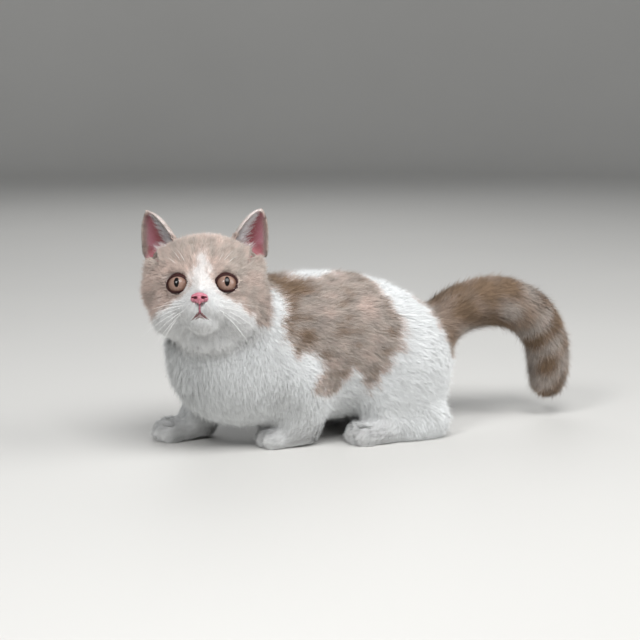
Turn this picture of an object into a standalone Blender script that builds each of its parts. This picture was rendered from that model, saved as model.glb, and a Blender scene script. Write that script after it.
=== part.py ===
"""A young munchkin cat, life size and still: it stands on its short legs with its head turned to its left,
looking up, its hindquarters low and its tail arched over behind.

The whole body is one fused form, parted into nodes by thin flat cuts. Ears, eyes and nose leather are
pieces of their own, set into the head.

Sizes are in millimetres, and MM turns them into metres. x runs from nose to tail, y to the cat's right,
and the floor is z = 0.
"""

import math

import bmesh
import bpy
import numpy as np
from mathutils import Matrix, Vector
from mathutils.bvhtree import BVHTree

MM = 0.001
GAP = 0.3

# Driving sizes, out to the tips of the coat
BACK_HEIGHT = 111.0
BELLY_HEIGHT = 14.0
TRUNK_HALF_WIDTH = 40.0
HEAD_CENTRE = (-71.3, -10.9, 107.1)
HEAD_TURN = 68.0
HEAD_TILT = 26.0
HEAD_ROLL = 1.0
HEAD_HALF_WIDTH = 36.2
HEAD_HALF_HEIGHT = 31.7
HEAD_HALF_DEPTH = 33.5
PAW_LENGTH = 33.0
PAW_WIDTH = 23.0
PAW_HEIGHT = 15.5
HIND_PAW_HEIGHT = 17.0
TAIL_RADIUS = 16.8
EYE_RADIUS = 8.6

# Fineness of the fused form
FLESH_VOXEL = 2.0
FLESH_ROUNDS = 16
DETAIL_VOXEL = 1.1
DETAIL_ROUNDS = 6
BODY_TRIANGLES = 6600

# The trunk from chest to rump: x, y, height of the back, height of the belly, half width
TRUNK = (
    (-86, -8, 0.78 * BACK_HEIGHT, 4.0 * BELLY_HEIGHT, 0.42 * TRUNK_HALF_WIDTH),
    (-76, -6, 0.88 * BACK_HEIGHT, 2.5 * BELLY_HEIGHT, 0.72 * TRUNK_HALF_WIDTH),
    (-60, -3, 0.96 * BACK_HEIGHT, 1.2 * BELLY_HEIGHT, 0.90 * TRUNK_HALF_WIDTH),
    (-38, -1, 0.99 * BACK_HEIGHT, 0.9 * BELLY_HEIGHT, 0.95 * TRUNK_HALF_WIDTH),
    (-12, 0, BACK_HEIGHT, 0.8 * BELLY_HEIGHT, 0.96 * TRUNK_HALF_WIDTH),
    (14, 0, BACK_HEIGHT, 0.8 * BELLY_HEIGHT, TRUNK_HALF_WIDTH),
    (36, 0, 0.965 * BACK_HEIGHT, 0.8 * BELLY_HEIGHT, 1.03 * TRUNK_HALF_WIDTH),
    (58, 0, 0.88 * BACK_HEIGHT, 0.85 * BELLY_HEIGHT, 1.03 * TRUNK_HALF_WIDTH),
    (77, 0, 0.78 * BACK_HEIGHT, 1.0 * BELLY_HEIGHT, 0.95 * TRUNK_HALF_WIDTH),
    (91, 0, 0.66 * BACK_HEIGHT, 1.4 * BELLY_HEIGHT, 0.74 * TRUNK_HALF_WIDTH),
    (99, 0, 0.56 * BACK_HEIGHT, 2.0 * BELLY_HEIGHT, 0.44 * TRUNK_HALF_WIDTH),
)
# The neck from between the shoulders to inside the skull: x, y, z, half width, half height
NECK = (
    (-34, 0, 76, 34, 34),
    (-50, -4, 84, 35, 34),
    (-62, -8, 94, 33, 31),
    (-70, -11, 103, 30, 29),
)
# The tail from inside the rump to its tip: x, y, z, radius as a share of TAIL_RADIUS
TAIL = (
    (80, 0, 52, 0.95),
    (95, 0, 66, 1.0),
    (111, -1, 76.5, 1.02),
    (129, -2, 82, 1.05),
    (148, -4, 82, 1.07),
    (167, -7, 73.5, 1.03),
    (179, -9, 57, 0.96),
    (182, -11, 38, 0.90),
    (181, -12, 25, 0.81),
)
# The legs from inside the trunk to the ankle: x, y, z, half width, half depth
FORELEG_LEFT = (
    (-28, -22, 66, 18, 26),
    (-14, -24, 46, 18.5, 21),
    (-10, -22, 31, 16.5, 18),
    (-10.5, -18, 18, 14, 16.5),
    (-12, -16, 9, 13, 16),
)
FORELEG_RIGHT = (
    (-50, 22, 66, 18, 25),
    (-50, 27, 46, 17, 20),
    (-57, 27, 31, 15, 16),
    (-62, 27, 18, 13, 14),
    (-66, 27, 9, 12, 13),
)
HIND_LEG = (
    (66, 27, 24, 14, 15),
    (79, 30, 14, 12.5, 13),
    (76, 31, 10, 12, 11),
    (56, 31, 9, 12, 10.5),
    (38, 31, 9, 12, 10.5),
)
# Each paw: the middle of its sole, and how far it points outwards in degrees
PAWS = {
    "fore_left": (-20.5, -15.5, 8.0),
    "fore_right": (-77.5, 27.5, 0.0),
    "hind_left": (37.5, -31.0, 4.0),
    "hind_right": (31.5, 31.0, 4.0),
}
HIND_STEP_RIGHT = -6.0
# Half length, half width and half height of the hollow between two toes
TOE_CREASE = (6.0, 1.5, 6.5)
# Rounded masses on the trunk: centre and radii, for the cat's left, mirrored to its right
TRUNK_MASSES = (
    ((62, -26, 42), (33, 18, 41)),
    ((46, -28, 32), (20, 14, 24)),
    ((-30, -24, 66), (26, 15, 34)),
)
CHEST_RUFF = ((-66, -6, 62), (25, 31, 34))
THROAT = ((-72, -16, 80), (22, 27, 19))

# The head in its own axes: forward, to its left, up
CRANIUM = ((0, 0, 0), (HEAD_HALF_DEPTH, HEAD_HALF_WIDTH, HEAD_HALF_HEIGHT))
FOREHEAD = ((13, 0, 5), (20, 24, 20))
HEAD_PAIRS = (
    ((3, 18.5, -3), (22, 20.5, 19.5)),
    ((1, 20, 10.5), (20, 18.0, 15)),
    ((9.5, 17.0, -21.5), (18, 16.0, 14.5)),
)
MUZZLE_PADS = ((25.6, 5.2, -23.0), (11.0, 10.0, 8.4))
NOSE_BRIDGE = ((20, 0, 4, 12, 10), (28, 0, -8, 9.5, 8), (33.5, 0, -16, 7.2, 6.5), (34.5, 0, -20.5, 6, 5))
CHIN = ((23.5, 0, -31.0), (9.5, 9.5, 6.5))
EYE_PLACE = (23.3, 13.9, -7.6)
EYE_OUTWARD = 9.0
EYE_UPWARD = 2.0
EYE_OPENING = (6.6, 5.6)
LID_THICKNESS = 1.5
# Nose and mouth are set to the face's surface: the first number is how far forward of it
NOSE_LEATHER = ((-1.4, 0, -18.6), (3.0, 5.6, 3.0))
NOSE_STALK = ((-1.9, 0, -21.8), (2.6, 2.6, 3.2))
NOSTRIL = ((1.4, 2.7, -19.1), (2.4, 1.25, 0.9))
MOUTH_RADIUS = 0.75
MOUTH = ((0, -24), (0, -27.2), (3, -29.0), (6.5, -30.8), (10.0, -31.6))
EAR_ROOT = (0.0, 27.0, 17.0)
EAR_TIP = (7.0, 36.7, 48.8)
EAR_WIDTH = 29.5
EAR_ROUNDNESS = 0.65
EAR_DEPTH = 15.0
EAR_WALL = 1.7
EAR_FACING = (0.80, 0.60, 0.0)

MATERIALS = {
    "coat_white": ((0.82, 0.83, 0.81), 0.85),
    "coat_lilac": ((0.46, 0.37, 0.31), 0.85),
    "ear_skin": ((0.70, 0.42, 0.40), 0.6),
    "nose_leather": ((0.72, 0.30, 0.32), 0.45),
    "eye": ((0.40, 0.24, 0.17), 0.08),
}


def catmull_rom(rows, steps):
    """The rows with others between them, on a smooth curve through each number."""
    rows = np.array(rows, float)
    rows = np.vstack([2 * rows[0] - rows[1], rows, 2 * rows[-1] - rows[-2]])
    curve = []
    for before, start, end, after in zip(rows, rows[1:], rows[2:], rows[3:]):
        for t in np.arange(steps) / steps:
            curve.append(
                start
                + 0.5 * t * (end - before)
                + t * t * (before - 2.5 * start + 2 * end - 0.5 * after)
                + t**3 * (1.5 * (start - end) + 0.5 * (after - before))
            )
    return np.array(curve + [rows[-2]])


def head_frame():
    """Turns the head's own axes, in millimetres, into the part's, in metres."""
    turn, tilt = math.radians(HEAD_TURN), math.radians(HEAD_TILT)
    level = Vector((-math.cos(turn), -math.sin(turn), 0))
    forward = level * math.cos(tilt) + Vector((0, 0, math.sin(tilt)))
    left = Matrix.Rotation(math.radians(HEAD_ROLL), 3, forward) @ Vector((0, 0, 1)).cross(level)
    axes = Matrix((forward, left, forward.cross(left))).transposed().to_4x4()
    return Matrix.Scale(MM, 4) @ Matrix.Translation(HEAD_CENTRE) @ axes


BODY = Matrix.Scale(MM, 4)
HEAD = head_frame()


def link(name, mesh_data):
    obj = bpy.data.objects.new(name, mesh_data)
    bpy.context.scene.collection.objects.link(obj)
    return obj


def from_bmesh(name, mesh):
    data = bpy.data.meshes.new(name)
    mesh.to_mesh(data)
    mesh.free()
    return link(name, data)


def ball(frame, centre, radii, fineness=4):
    """An ellipsoid whose radii lie along the frame's axes."""
    mesh = bmesh.new()
    shape = frame @ Matrix.Translation(centre) @ Matrix.Diagonal((*radii, 1))
    bmesh.ops.create_icosphere(mesh, subdivisions=fineness, radius=1, matrix=shape)
    return from_bmesh("ball", mesh)


def loft(name, mesh, rings):
    """Skins rings of as many points each, and closes both ends."""
    sides = len(rings[0])
    for lower, upper in zip(rings, rings[1:]):
        for k in range(sides):
            n = (k + 1) % sides
            mesh.faces.new((lower[k], lower[n], upper[n], upper[k]))
    mesh.faces.new(rings[0][::-1])
    mesh.faces.new(rings[-1])
    bmesh.ops.recalc_face_normals(mesh, faces=mesh.faces)
    return from_bmesh(name, mesh)


def pair(frame, centre, radii):
    """An ellipsoid and its mirror image across the frame's y = 0."""
    x, y, z = centre
    return [ball(frame, centre, radii), ball(frame, (x, -y, z), radii)]


def tube(frame, rows, upright, steps=4, sides=24, ends=0.75):
    """A limb through rows of x, y, z, half width and half height, with rounded ends."""
    rows = catmull_rom(rows, steps)
    centres = [Vector(row[:3]) for row in rows]
    tangents = [
        (centres[min(i + 1, len(centres) - 1)] - centres[max(i - 1, 0)]).normalized()
        for i in range(len(centres))
    ]
    sections = [(c, t, w, h) for c, t, (w, h) in zip(centres, tangents, rows[:, 3:])]
    for index, sense in ((0, -1), (-1, 1)):
        centre, tangent, wide, high = sections[index]
        reach = ends * min(wide, high) * sense
        cap = [
            (centre + tangent * reach * math.sin(a), tangent, wide * math.cos(a), high * math.cos(a))
            for a in (math.radians(degrees) for degrees in (25, 50, 72))
        ]
        sections = cap[::-1] + sections if index == 0 else sections + cap
    mesh = bmesh.new()
    rings = []
    for centre, tangent, wide, high in sections:
        side = tangent.cross(Vector(upright)).normalized()
        over = side.cross(tangent)
        ring = []
        for k in range(sides):
            angle = 2 * math.pi * k / sides
            point = centre + side * wide * math.cos(angle) + over * high * math.sin(angle)
            ring.append(mesh.verts.new(frame @ point))
        rings.append(ring)
    return loft("tube", mesh, rings)


def apply_modifiers(obj):
    """Leaves the object with the mesh that its modifiers make."""
    graph = bpy.context.evaluated_depsgraph_get()
    made = bpy.data.meshes.new_from_object(obj.evaluated_get(graph))
    obj.modifiers.clear()
    obj.data = made


def fuse(name, pieces, voxel, rounds):
    """Joins overlapping pieces into one closed form and fillets the creases between them."""
    joined = bmesh.new()
    for piece in pieces:
        joined.from_mesh(piece.data)
        bpy.data.objects.remove(piece)
    obj = from_bmesh(name, joined)
    remesh = obj.modifiers.new("Fuse", "REMESH")
    remesh.mode = "VOXEL"
    remesh.voxel_size = voxel * MM
    smooth = obj.modifiers.new("Fillet", "SMOOTH")
    smooth.factor = 0.5
    smooth.iterations = rounds
    apply_modifiers(obj)
    return obj


def thin_out(obj, triangles):
    """Triangulates the mesh and collapses it to about that many triangles."""
    mesh = bmesh.new()
    mesh.from_mesh(obj.data)
    bmesh.ops.triangulate(mesh, faces=mesh.faces)
    count = len(mesh.faces)
    mesh.to_mesh(obj.data)
    mesh.free()
    decimate = obj.modifiers.new("Thin", "DECIMATE")
    decimate.ratio = min(1.0, triangles / count)
    apply_modifiers(obj)


def boolean(target, other, operation="DIFFERENCE", keep_other=False):
    modifier = target.modifiers.new(operation.title(), "BOOLEAN")
    modifier.operation = operation
    modifier.solver = "EXACT"
    modifier.object = other
    apply_modifiers(target)
    if not keep_other:
        bpy.data.objects.remove(other)


def keep_largest(obj):
    """Drops any loose scrap, so that the object is one closed body."""
    mesh = bmesh.new()
    mesh.from_mesh(obj.data)
    mesh.verts.ensure_lookup_table()
    seen, islands = set(), []
    for start in mesh.verts:
        if start in seen:
            continue
        island, front = {start}, [start]
        while front:
            found = {e.other_vert(v) for v in front for e in v.link_edges} - island
            island |= found
            front = list(found)
        seen |= island
        islands.append(island)
    largest = max(islands, key=len)
    bmesh.ops.delete(mesh, geom=[v for v in mesh.verts if v not in largest], context="VERTS")
    mesh.to_mesh(obj.data)
    mesh.free()


def slice_off(obj, point, normal, gap=GAP):
    """Keeps the side of a flat cut that the normal points to, half the gap back from it, and closes it."""
    normal = Vector(normal).normalized()
    mesh = bmesh.new()
    mesh.from_mesh(obj.data)
    bmesh.ops.bisect_plane(
        mesh,
        geom=mesh.verts[:] + mesh.edges[:] + mesh.faces[:],
        dist=1e-7,
        plane_co=(Vector(point) + normal * gap / 2) * MM,
        plane_no=normal,
        clear_inner=True,
    )
    rim = [e for e in mesh.edges if e.is_boundary]
    caps = bmesh.ops.holes_fill(mesh, edges=rim, sides=0)["faces"]
    bmesh.ops.triangulate(mesh, faces=caps)
    mesh.to_mesh(obj.data)
    mesh.free()


def copy_of(obj, name):
    return link(name, obj.data.copy())


def part_at(obj, name, point, normal):
    """Cuts obj in two at a plane. The side that the normal points to becomes a new object of that name."""
    beyond = copy_of(obj, name)
    slice_off(beyond, point, normal)
    slice_off(obj, point, -Vector(normal))
    return beyond


def cell(planes, gap):
    """A closed block bounded by planes, each a point and a normal that points into it."""
    mesh = bmesh.new()
    bmesh.ops.create_cube(mesh, size=400 * MM)
    block = from_bmesh("cell", mesh)
    for point, normal in planes:
        slice_off(block, point, normal, gap)
    return block


def part_off_cell(obj, name, planes):
    """Takes what lies inside the planes out of obj as a new object."""
    taken = copy_of(obj, name)
    for point, normal in planes:
        slice_off(taken, point, normal)
    keep_largest(taken)
    boolean(obj, cell(planes, -GAP))
    keep_largest(obj)
    return taken


def paw_frame(word):
    """A paw's axes, in millimetres: the middle of its sole, and -x out through its toes."""
    x, y, outward = PAWS[word]
    side = 1 if word.endswith("left") else -1
    return BODY @ Matrix.Translation((x, y, 0)) @ Matrix.Rotation(math.radians(-outward * side), 4, "Z")


def paw(word):
    """A paw flat on the floor with four toes, pointing along -x and turned outwards."""
    frame = paw_frame(word)
    hind = word.startswith("hind")
    long = PAW_LENGTH * (1.05 if hind else 1.0)
    high = HIND_PAW_HEIGHT if hind else PAW_HEIGHT
    pieces = [ball(frame, (0.06 * long, 0, 0.42 * high), (0.50 * long, 0.50 * PAW_WIDTH, 0.52 * high))]
    for across, back in ((-0.36, 0.10), (-0.125, 0.0), (0.125, 0.0), (0.36, 0.10)):
        centre = ((-0.30 + back) * long, across * PAW_WIDTH, 0.36 * high)
        radii = (0.24 * long, 0.155 * PAW_WIDTH, 0.46 * high)
        pieces.append(ball(frame, centre, radii))
    return pieces


def toe_creases(word):
    """What is cut out between the toes of a paw."""
    frame = paw_frame(word)
    creases = []
    for across, back in ((-0.245, -0.42), (0.0, -0.50), (0.245, -0.42)):
        creases.append(ball(frame, (back * PAW_LENGTH, across * PAW_WIDTH, 5.0), TOE_CREASE, 2))
    return creases


def mirrored(rows, shift=0.0):
    return [(x + shift, -y, *rest) for x, y, *rest in rows]


def trunk_pieces():
    rows = [
        (x, y, (back + belly) / 2, wide, (back - belly) / 2) for x, y, back, belly, wide in TRUNK
    ]
    pieces = [tube(BODY, rows, (0, 0, 1), ends=0.6), tube(BODY, NECK, (0, 0, 1))]
    for centre, radii in TRUNK_MASSES:
        pieces += pair(BODY, centre, radii)
    pieces += [ball(BODY, *CHEST_RUFF), ball(BODY, *THROAT)]
    return pieces


def leg_pieces():
    forward = (-1, 0, 0)
    hind_left = mirrored(HIND_LEG)
    hind_right = [(x + HIND_STEP_RIGHT, y, *rest) for x, y, *rest in HIND_LEG]
    return [
        tube(BODY, FORELEG_LEFT, forward),
        tube(BODY, FORELEG_RIGHT, forward),
        tube(BODY, hind_left, (0, 1, 0)),
        tube(BODY, hind_right, (0, 1, 0)),
    ]


def tail_piece():
    rows = [(x, y, z, share * TAIL_RADIUS, share * TAIL_RADIUS) for x, y, z, share in TAIL]
    return tube(BODY, rows, (0, 1, 0), ends=0.9)


def head_mass_pieces():
    pieces = [ball(HEAD, *CRANIUM), ball(HEAD, *FOREHEAD)]
    for centre, radii in HEAD_PAIRS:
        pieces += pair(HEAD, centre, radii)
    return pieces


def lid_ring(side):
    """The rim of both lids, a soft ring round the opening of the eye."""
    frame = eye_frame(side)
    wide, high = EYE_OPENING
    rows = []
    mesh = bmesh.new()
    around, across = 28, 10
    for i in range(around):
        a = 2 * math.pi * i / around
        ring = []
        for j in range(across):
            b = 2 * math.pi * j / across
            out = 1 + LID_THICKNESS * (0.55 + math.cos(b)) / wide
            flat = Vector((0, wide * out * math.cos(a), high * out * math.sin(a)))
            depth = math.sqrt(max(0.0, (EYE_RADIUS + 0.7) ** 2 - flat.length_squared * 0.96))
            depth += LID_THICKNESS * 0.7 * math.sin(b)
            ring.append(mesh.verts.new(frame @ (flat + Vector((depth, 0, 0)))))
        rows.append(ring)
    for i in range(around):
        for j in range(across):
            n, m = (i + 1) % around, (j + 1) % across
            mesh.faces.new((rows[i][j], rows[n][j], rows[n][m], rows[i][m]))
    bmesh.ops.recalc_face_normals(mesh, faces=mesh.faces)
    return from_bmesh("lid", mesh)


def face_pieces():
    pieces = pair(HEAD, *MUZZLE_PADS) + [ball(HEAD, *CHIN)]
    pieces.append(tube(HEAD, NOSE_BRIDGE, (1, 0, 0.3)))
    pieces += [lid_ring(side) for side in (1, -1)]
    return pieces


def eye_frame(side):
    """The axes of one eye: forward out of the pupil, left, up. side is 1 for the cat's left."""
    ahead, aside, up = EYE_PLACE
    turn = Matrix.Rotation(math.radians(EYE_OUTWARD * side), 4, "Z")
    lift = Matrix.Rotation(math.radians(-EYE_UPWARD), 4, "Y")
    return HEAD @ Matrix.Translation((ahead, aside * side, up)) @ turn @ lift


def eye_opening(side):
    """The funnel between the lids, drawn down to a point at the corner beside the nose."""
    wide, high = EYE_OPENING
    mesh = bmesh.new()
    frame = eye_frame(side)
    rings = []
    sides = 28
    for depth, size in ((0.35 * EYE_RADIUS, 0.80), (EYE_RADIUS, 0.98), (1.35 * EYE_RADIUS, 1.22)):
        ring = []
        for k in range(sides):
            a = 2 * math.pi * k / sides
            corner = max(0.0, math.cos(a)) ** 6
            y = -side * wide * size * (math.cos(a) + 0.10 * corner)
            z = high * size * (math.sin(a) - 0.28 * corner)
            ring.append(mesh.verts.new(frame @ Vector((depth, y, z))))
        rings.append(ring)
    return loft("opening", mesh, rings)


def nose_shape(name, grow, tip):
    """The nose leather: a wide pad that narrows down into the groove of the lip."""
    pieces = []
    for (x, y, z), radii in (NOSE_LEATHER, NOSE_STALK):
        pieces.append(ball(HEAD, (x + tip, y, z), [r + grow for r in radii]))
    fused = fuse(name, pieces, 0.45, 5)
    thin_out(fused, 260)
    return fused


def mouth_line(tree):
    """The line of the mouth on the face's surface: down from the nose, then out to both corners."""
    halves = []
    for side in (1, -1):
        rows = []
        for aside, up in catmull_rom(MOUTH, 3):
            ahead = surface_ahead(tree, aside * side, up)
            rows.append((ahead, aside * side, up, MOUTH_RADIUS, MOUTH_RADIUS * 1.3))
        halves.append(tube(HEAD, rows, (1, 0, 0), steps=1, sides=8))
    return halves


def ear_axes(side):
    """The root and the tip of one ear, its length's direction, the one across it and the one it faces."""
    flip = Matrix.Diagonal((1, side, 1))
    root, tip, facing = flip @ Vector(EAR_ROOT), flip @ Vector(EAR_TIP), flip @ Vector(EAR_FACING)
    axis = (tip - root).normalized()
    across = axis.cross(facing).normalized() * side
    return root, tip, axis, across, across.cross(axis).normalized() * side


def ear_shape(name, side, grow=0.0):
    """One ear as a solid, from a root inside the head to a rounded tip. grow is added all round."""
    root, tip, axis, across, facing = ear_axes(side)
    rings = []
    mesh = bmesh.new()
    sides, levels = 18, 10
    for i in range(levels + 1):
        t = i / levels
        rise = -0.20 + 1.20 * t
        spread = max(0.0, 1 - max(0.0, rise) ** 1.7) ** EAR_ROUNDNESS
        buried = 0.62 + 0.38 * min(1.0, (rise + 0.2) / 0.42)
        half = EAR_WIDTH / 2 * spread * buried + grow
        deep = EAR_DEPTH * spread ** 1.1 * buried + grow + 1.0
        centre = root + (tip - root) * rise + axis * grow * (1 if t > 0.5 else -1)
        lean = across * (-2.5 * rise * (1 - rise))
        ring = []
        for k in range(sides):
            a = 2 * math.pi * k / sides
            back = deep * 0.72 if math.sin(a) < 0 else deep * 0.20
            aside = across * max(half, 0.8 + grow) * math.cos(a)
            ring.append(mesh.verts.new(HEAD @ (centre + lean + aside + facing * back * math.sin(a))))
        rings.append(ring)
    return loft(name, mesh, rings)


def ear_cup(side):
    """What is hollowed out of the front of an ear."""
    root, tip, _, across, facing = ear_axes(side)
    mesh = bmesh.new()
    rings = []
    sides, levels = 18, 8
    for i in range(levels + 1):
        t = i / levels
        rise = 0.04 + 0.885 * t
        spread = max(0.0, 1 - rise**1.7) ** EAR_ROUNDNESS
        half = EAR_WIDTH / 2 * spread - EAR_WALL + 0.5 * (1 - t)
        deep = EAR_DEPTH * spread ** 1.1
        centre = root + (tip - root) * rise
        lean = across * (-2.5 * rise * (1 - rise))
        ring = []
        for k in range(sides):
            a = 2 * math.pi * k / sides
            back = (deep * 0.72 - EAR_WALL + 1.0) if math.sin(a) < 0 else deep * 0.5 + 3
            shrink = 0.35 + 0.65 * min(1.0, t * 3.5 + 0.1)
            if math.sin(a) < 0:
                back *= shrink
            aside = across * max(half, 0.5) * math.cos(a)
            inwards = facing * max(back, 0.4) * math.sin(a)
            ring.append(mesh.verts.new(HEAD @ (centre + lean + aside + inwards)))
        rings.append(ring)
    return loft("cup", mesh, rings)


def finish(obj, material):
    data = bpy.data.materials.get(material)
    if data is None:
        colour, roughness = MATERIALS[material]
        data = bpy.data.materials.new(material)
        data.use_nodes = True
        shader = data.node_tree.nodes["Principled BSDF"]
        shader.inputs["Base Color"].default_value = (*colour, 1)
        shader.inputs["Roughness"].default_value = roughness
    obj.data.materials.clear()
    obj.data.materials.append(data)


def surface_ahead(tree, aside, up):
    """How far forward the face's surface is at that place, in the head's axes."""
    direction = (HEAD.to_3x3() @ Vector((-1, 0, 0))).normalized()
    hit = tree.ray_cast(HEAD @ Vector((90, aside, up)), direction)[0]
    return (HEAD.inverted() @ hit).x


def tree_of(obj):
    mesh = bmesh.new()
    mesh.from_mesh(obj.data)
    tree = BVHTree.FromBMesh(mesh)
    mesh.free()
    return tree


def body_form():
    """The whole animal but for its ears, eyes and nose, flat under its feet."""
    masses = trunk_pieces() + leg_pieces() + [tail_piece()] + head_mass_pieces()
    flesh = fuse("flesh", masses, FLESH_VOXEL, FLESH_ROUNDS)
    feet = [piece for word in PAWS for piece in paw(word)]
    body = fuse("rump", [flesh] + feet + face_pieces(), DETAIL_VOXEL, DETAIL_ROUNDS)
    thin_out(body, BODY_TRIANGLES)
    for word in PAWS:
        for crease in toe_creases(word):
            boolean(body, crease)
    slice_off(body, (0, 0, 0), (0, 0, 1), gap=0)
    keep_largest(body)
    return body


def limbs_and_tail(body):
    """Parts the tail into four lengths, and each leg from its foot, off the trunk."""
    nodes = []
    rest = body
    for number, (point, normal) in enumerate(TAIL_CUTS, 1):
        rest = part_at(rest, f"tail_{number}", point, normal)
        nodes.append(rest)
    for side, y in (("left", -1), ("right", 1)):
        for name, planes in LEG_CELLS[side].items():
            turned = [((px, py * y, pz), (nx, ny * y, nz)) for (px, py, pz), (nx, ny, nz) in planes]
            nodes.append(part_off_cell(body, name, turned))
    return nodes


TAIL_CUTS = (
    ((99, 0, 70), (0.75, 0, 0.66)),
    ((123, -2, 80), (0.98, 0, 0.22)),
    ((150, -4, 82), (0.95, 0, -0.31)),
    ((177, -9, 54), (0.15, 0, -0.99)),
)
# Blocks that hold one part of a leg each, as planes facing in. y is out to the side of the leg.
LEG_CELLS = {
    "left": {
        "forepaw_left": (
            ((0, 0, 15), (0, 0, -1)),
            ((0, 1.5, 0), (0, 1, 0)),
            ((9, 0, 0), (-1, 0, 0)),
            ((-46, 0, 0), (1, 0, 0)),
        ),
        "foreleg_left": (
            ((0, 4, 0), (0, 0.99, 0.14)),
            ((0, 0, 42), (0, 0.2, -0.98)),
            ((11, 0, 0), (-1, 0, 0)),
            ((-42, 0, 0), (1, 0, 0)),
        ),
        "hindfoot_left": (
            ((0, 17.5, 0), (0, 1, 0)),
            ((0, 0, 17), (0, 0, -1)),
            ((11, 0, 0), (1, 0, 0)),
        ),
        "thigh_left": (
            ((0, 20, 0), (0, 0.995, 0.1)),
            ((0, 0, 78), (0, 0.3, -0.95)),
            ((26, 0, 0), (1, 0, 0)),
        ),
    },
    "right": {
        "forepaw_right": (
            ((0, 0, 15), (0, 0, -1)),
            ((0, 9, 0), (0, 1, 0)),
            ((-30, 0, 0), (-1, 0, 0)),
        ),
        "foreleg_right": (
            ((0, 9, 0), (0, 1, 0)),
            ((0, 0, 42), (0, 0.2, -0.98)),
            ((-30, 0, 0), (-1, 0, 0)),
        ),
        "hindfoot_right": (
            ((0, 17.5, 0), (0, 1, 0)),
            ((0, 0, 17), (0, 0, -1)),
            ((5, 0, 0), (1, 0, 0)),
        ),
        "thigh_right": (
            ((0, 20, 0), (0, 0.995, 0.1)),
            ((0, 0, 78), (0, 0.3, -0.95)),
            ((26, 0, 0), (1, 0, 0)),
        ),
    },
}
# The head lies in front of two planes that cross behind the ears
HEAD_CELL = (
    ((-22.1, -7.8, 11.2), (-0.85, -0.3, 0.43)),
    ((-4.8, -8.4, 22.0), (-0.2, -0.35, 0.915)),
)


def trunk_nodes(body):
    """Parts the head, neck, chest, shoulders and loin off, and leaves the rump."""
    centre = Vector(HEAD_CENTRE)
    head = part_off_cell(body, "head", [(centre - Vector(point), normal) for point, normal in HEAD_CELL])
    loin = part_at(body, "loin", (52, 0, 60), (-1, 0, 0))
    shoulders = part_at(loin, "shoulders", (6, 0, 60), (-1, 0, 0))
    chest = part_at(shoulders, "chest", (-36, 0, 60), (-1, 0, 0))
    neck = part_at(chest, "neck", (-50, -4, 84), (-0.35, -0.2, 0.9))
    return head, [neck, chest, shoulders, loin]


def face_nodes(head, behind):
    """Sets the ears, eyes and nose leather into the head, and cuts the line of the mouth."""
    nodes = []
    tree = tree_of(head)
    tip = surface_ahead(tree, 0, NOSE_LEATHER[0][2])
    for side, word in ((1, "left"), (-1, "right")):
        ear = ear_shape(f"ear_{word}", side)
        room = ear_shape("room", side, GAP)
        for obj in behind:
            boolean(obj, room, keep_other=True)
        boolean(head, room)
        boolean(ear, ear_cup(side))
        eye = ball(eye_frame(side), (0, 0, 0), [EYE_RADIUS] * 3, 3)
        eye.name = f"eye_{word}"
        boolean(head, ball(eye_frame(side), (0, 0, 0), [EYE_RADIUS + GAP] * 3, 3))
        boolean(head, eye_opening(side))
        nodes += [ear, eye]
    nose = nose_shape("nose", 0, tip)
    boolean(head, nose_shape("room", GAP, tip))
    for side in (1, -1):
        x, y, z = NOSTRIL[0]
        boolean(nose, ball(HEAD, (x + tip, y * side, z), NOSTRIL[1], 2))
    nodes.append(nose)
    for half in mouth_line(tree):
        boolean(head, half)
    return nodes


def centre_on_floor(nodes):
    """Moves the whole part so that the middle of its outline's box is over the origin."""
    corners = np.array([corner.co for obj in nodes for corner in obj.data.vertices])
    middle = (corners.min(axis=0) + corners.max(axis=0)) / 2
    for obj in nodes:
        obj.data.transform(Matrix.Translation((-middle[0], -middle[1], 0)))


def main():
    for obj in list(bpy.data.objects):
        bpy.data.objects.remove(obj)
    rump = body_form()
    limbs = limbs_and_tail(rump)
    head, trunk = trunk_nodes(rump)
    face = face_nodes(head, [trunk[0], trunk[2]])
    nodes = limbs + trunk + [head, rump] + face
    for obj in nodes:
        keep_largest(obj)
        material = "coat_white"
        if obj.name.startswith("tail"):
            material = "coat_lilac"
        elif obj.name.startswith("ear"):
            material = "ear_skin"
        elif obj.name.startswith("nose"):
            material = "nose_leather"
        elif obj.name.startswith("eye"):
            material = "eye"
        finish(obj, material)
    centre_on_floor(nodes)


if __name__ == "__main__":
    main()
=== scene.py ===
"""A young munchkin cat, white with lilac-brown patches, on a pale floor in soft studio light.

One skin lies inside the solids by the depth of the coat. The coat is short tapered hairs that root in it,
in locks that follow the lie of the fur. Places are worked out in millimetres in the body's own axes:
x from nose to tail, y to the cat's right, z up from the floor.
"""

import math

import bmesh
import bpy
import numpy as np
from mathutils import Matrix, Vector
from mathutils.bvhtree import BVHTree
from mathutils.kdtree import KDTree


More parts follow.
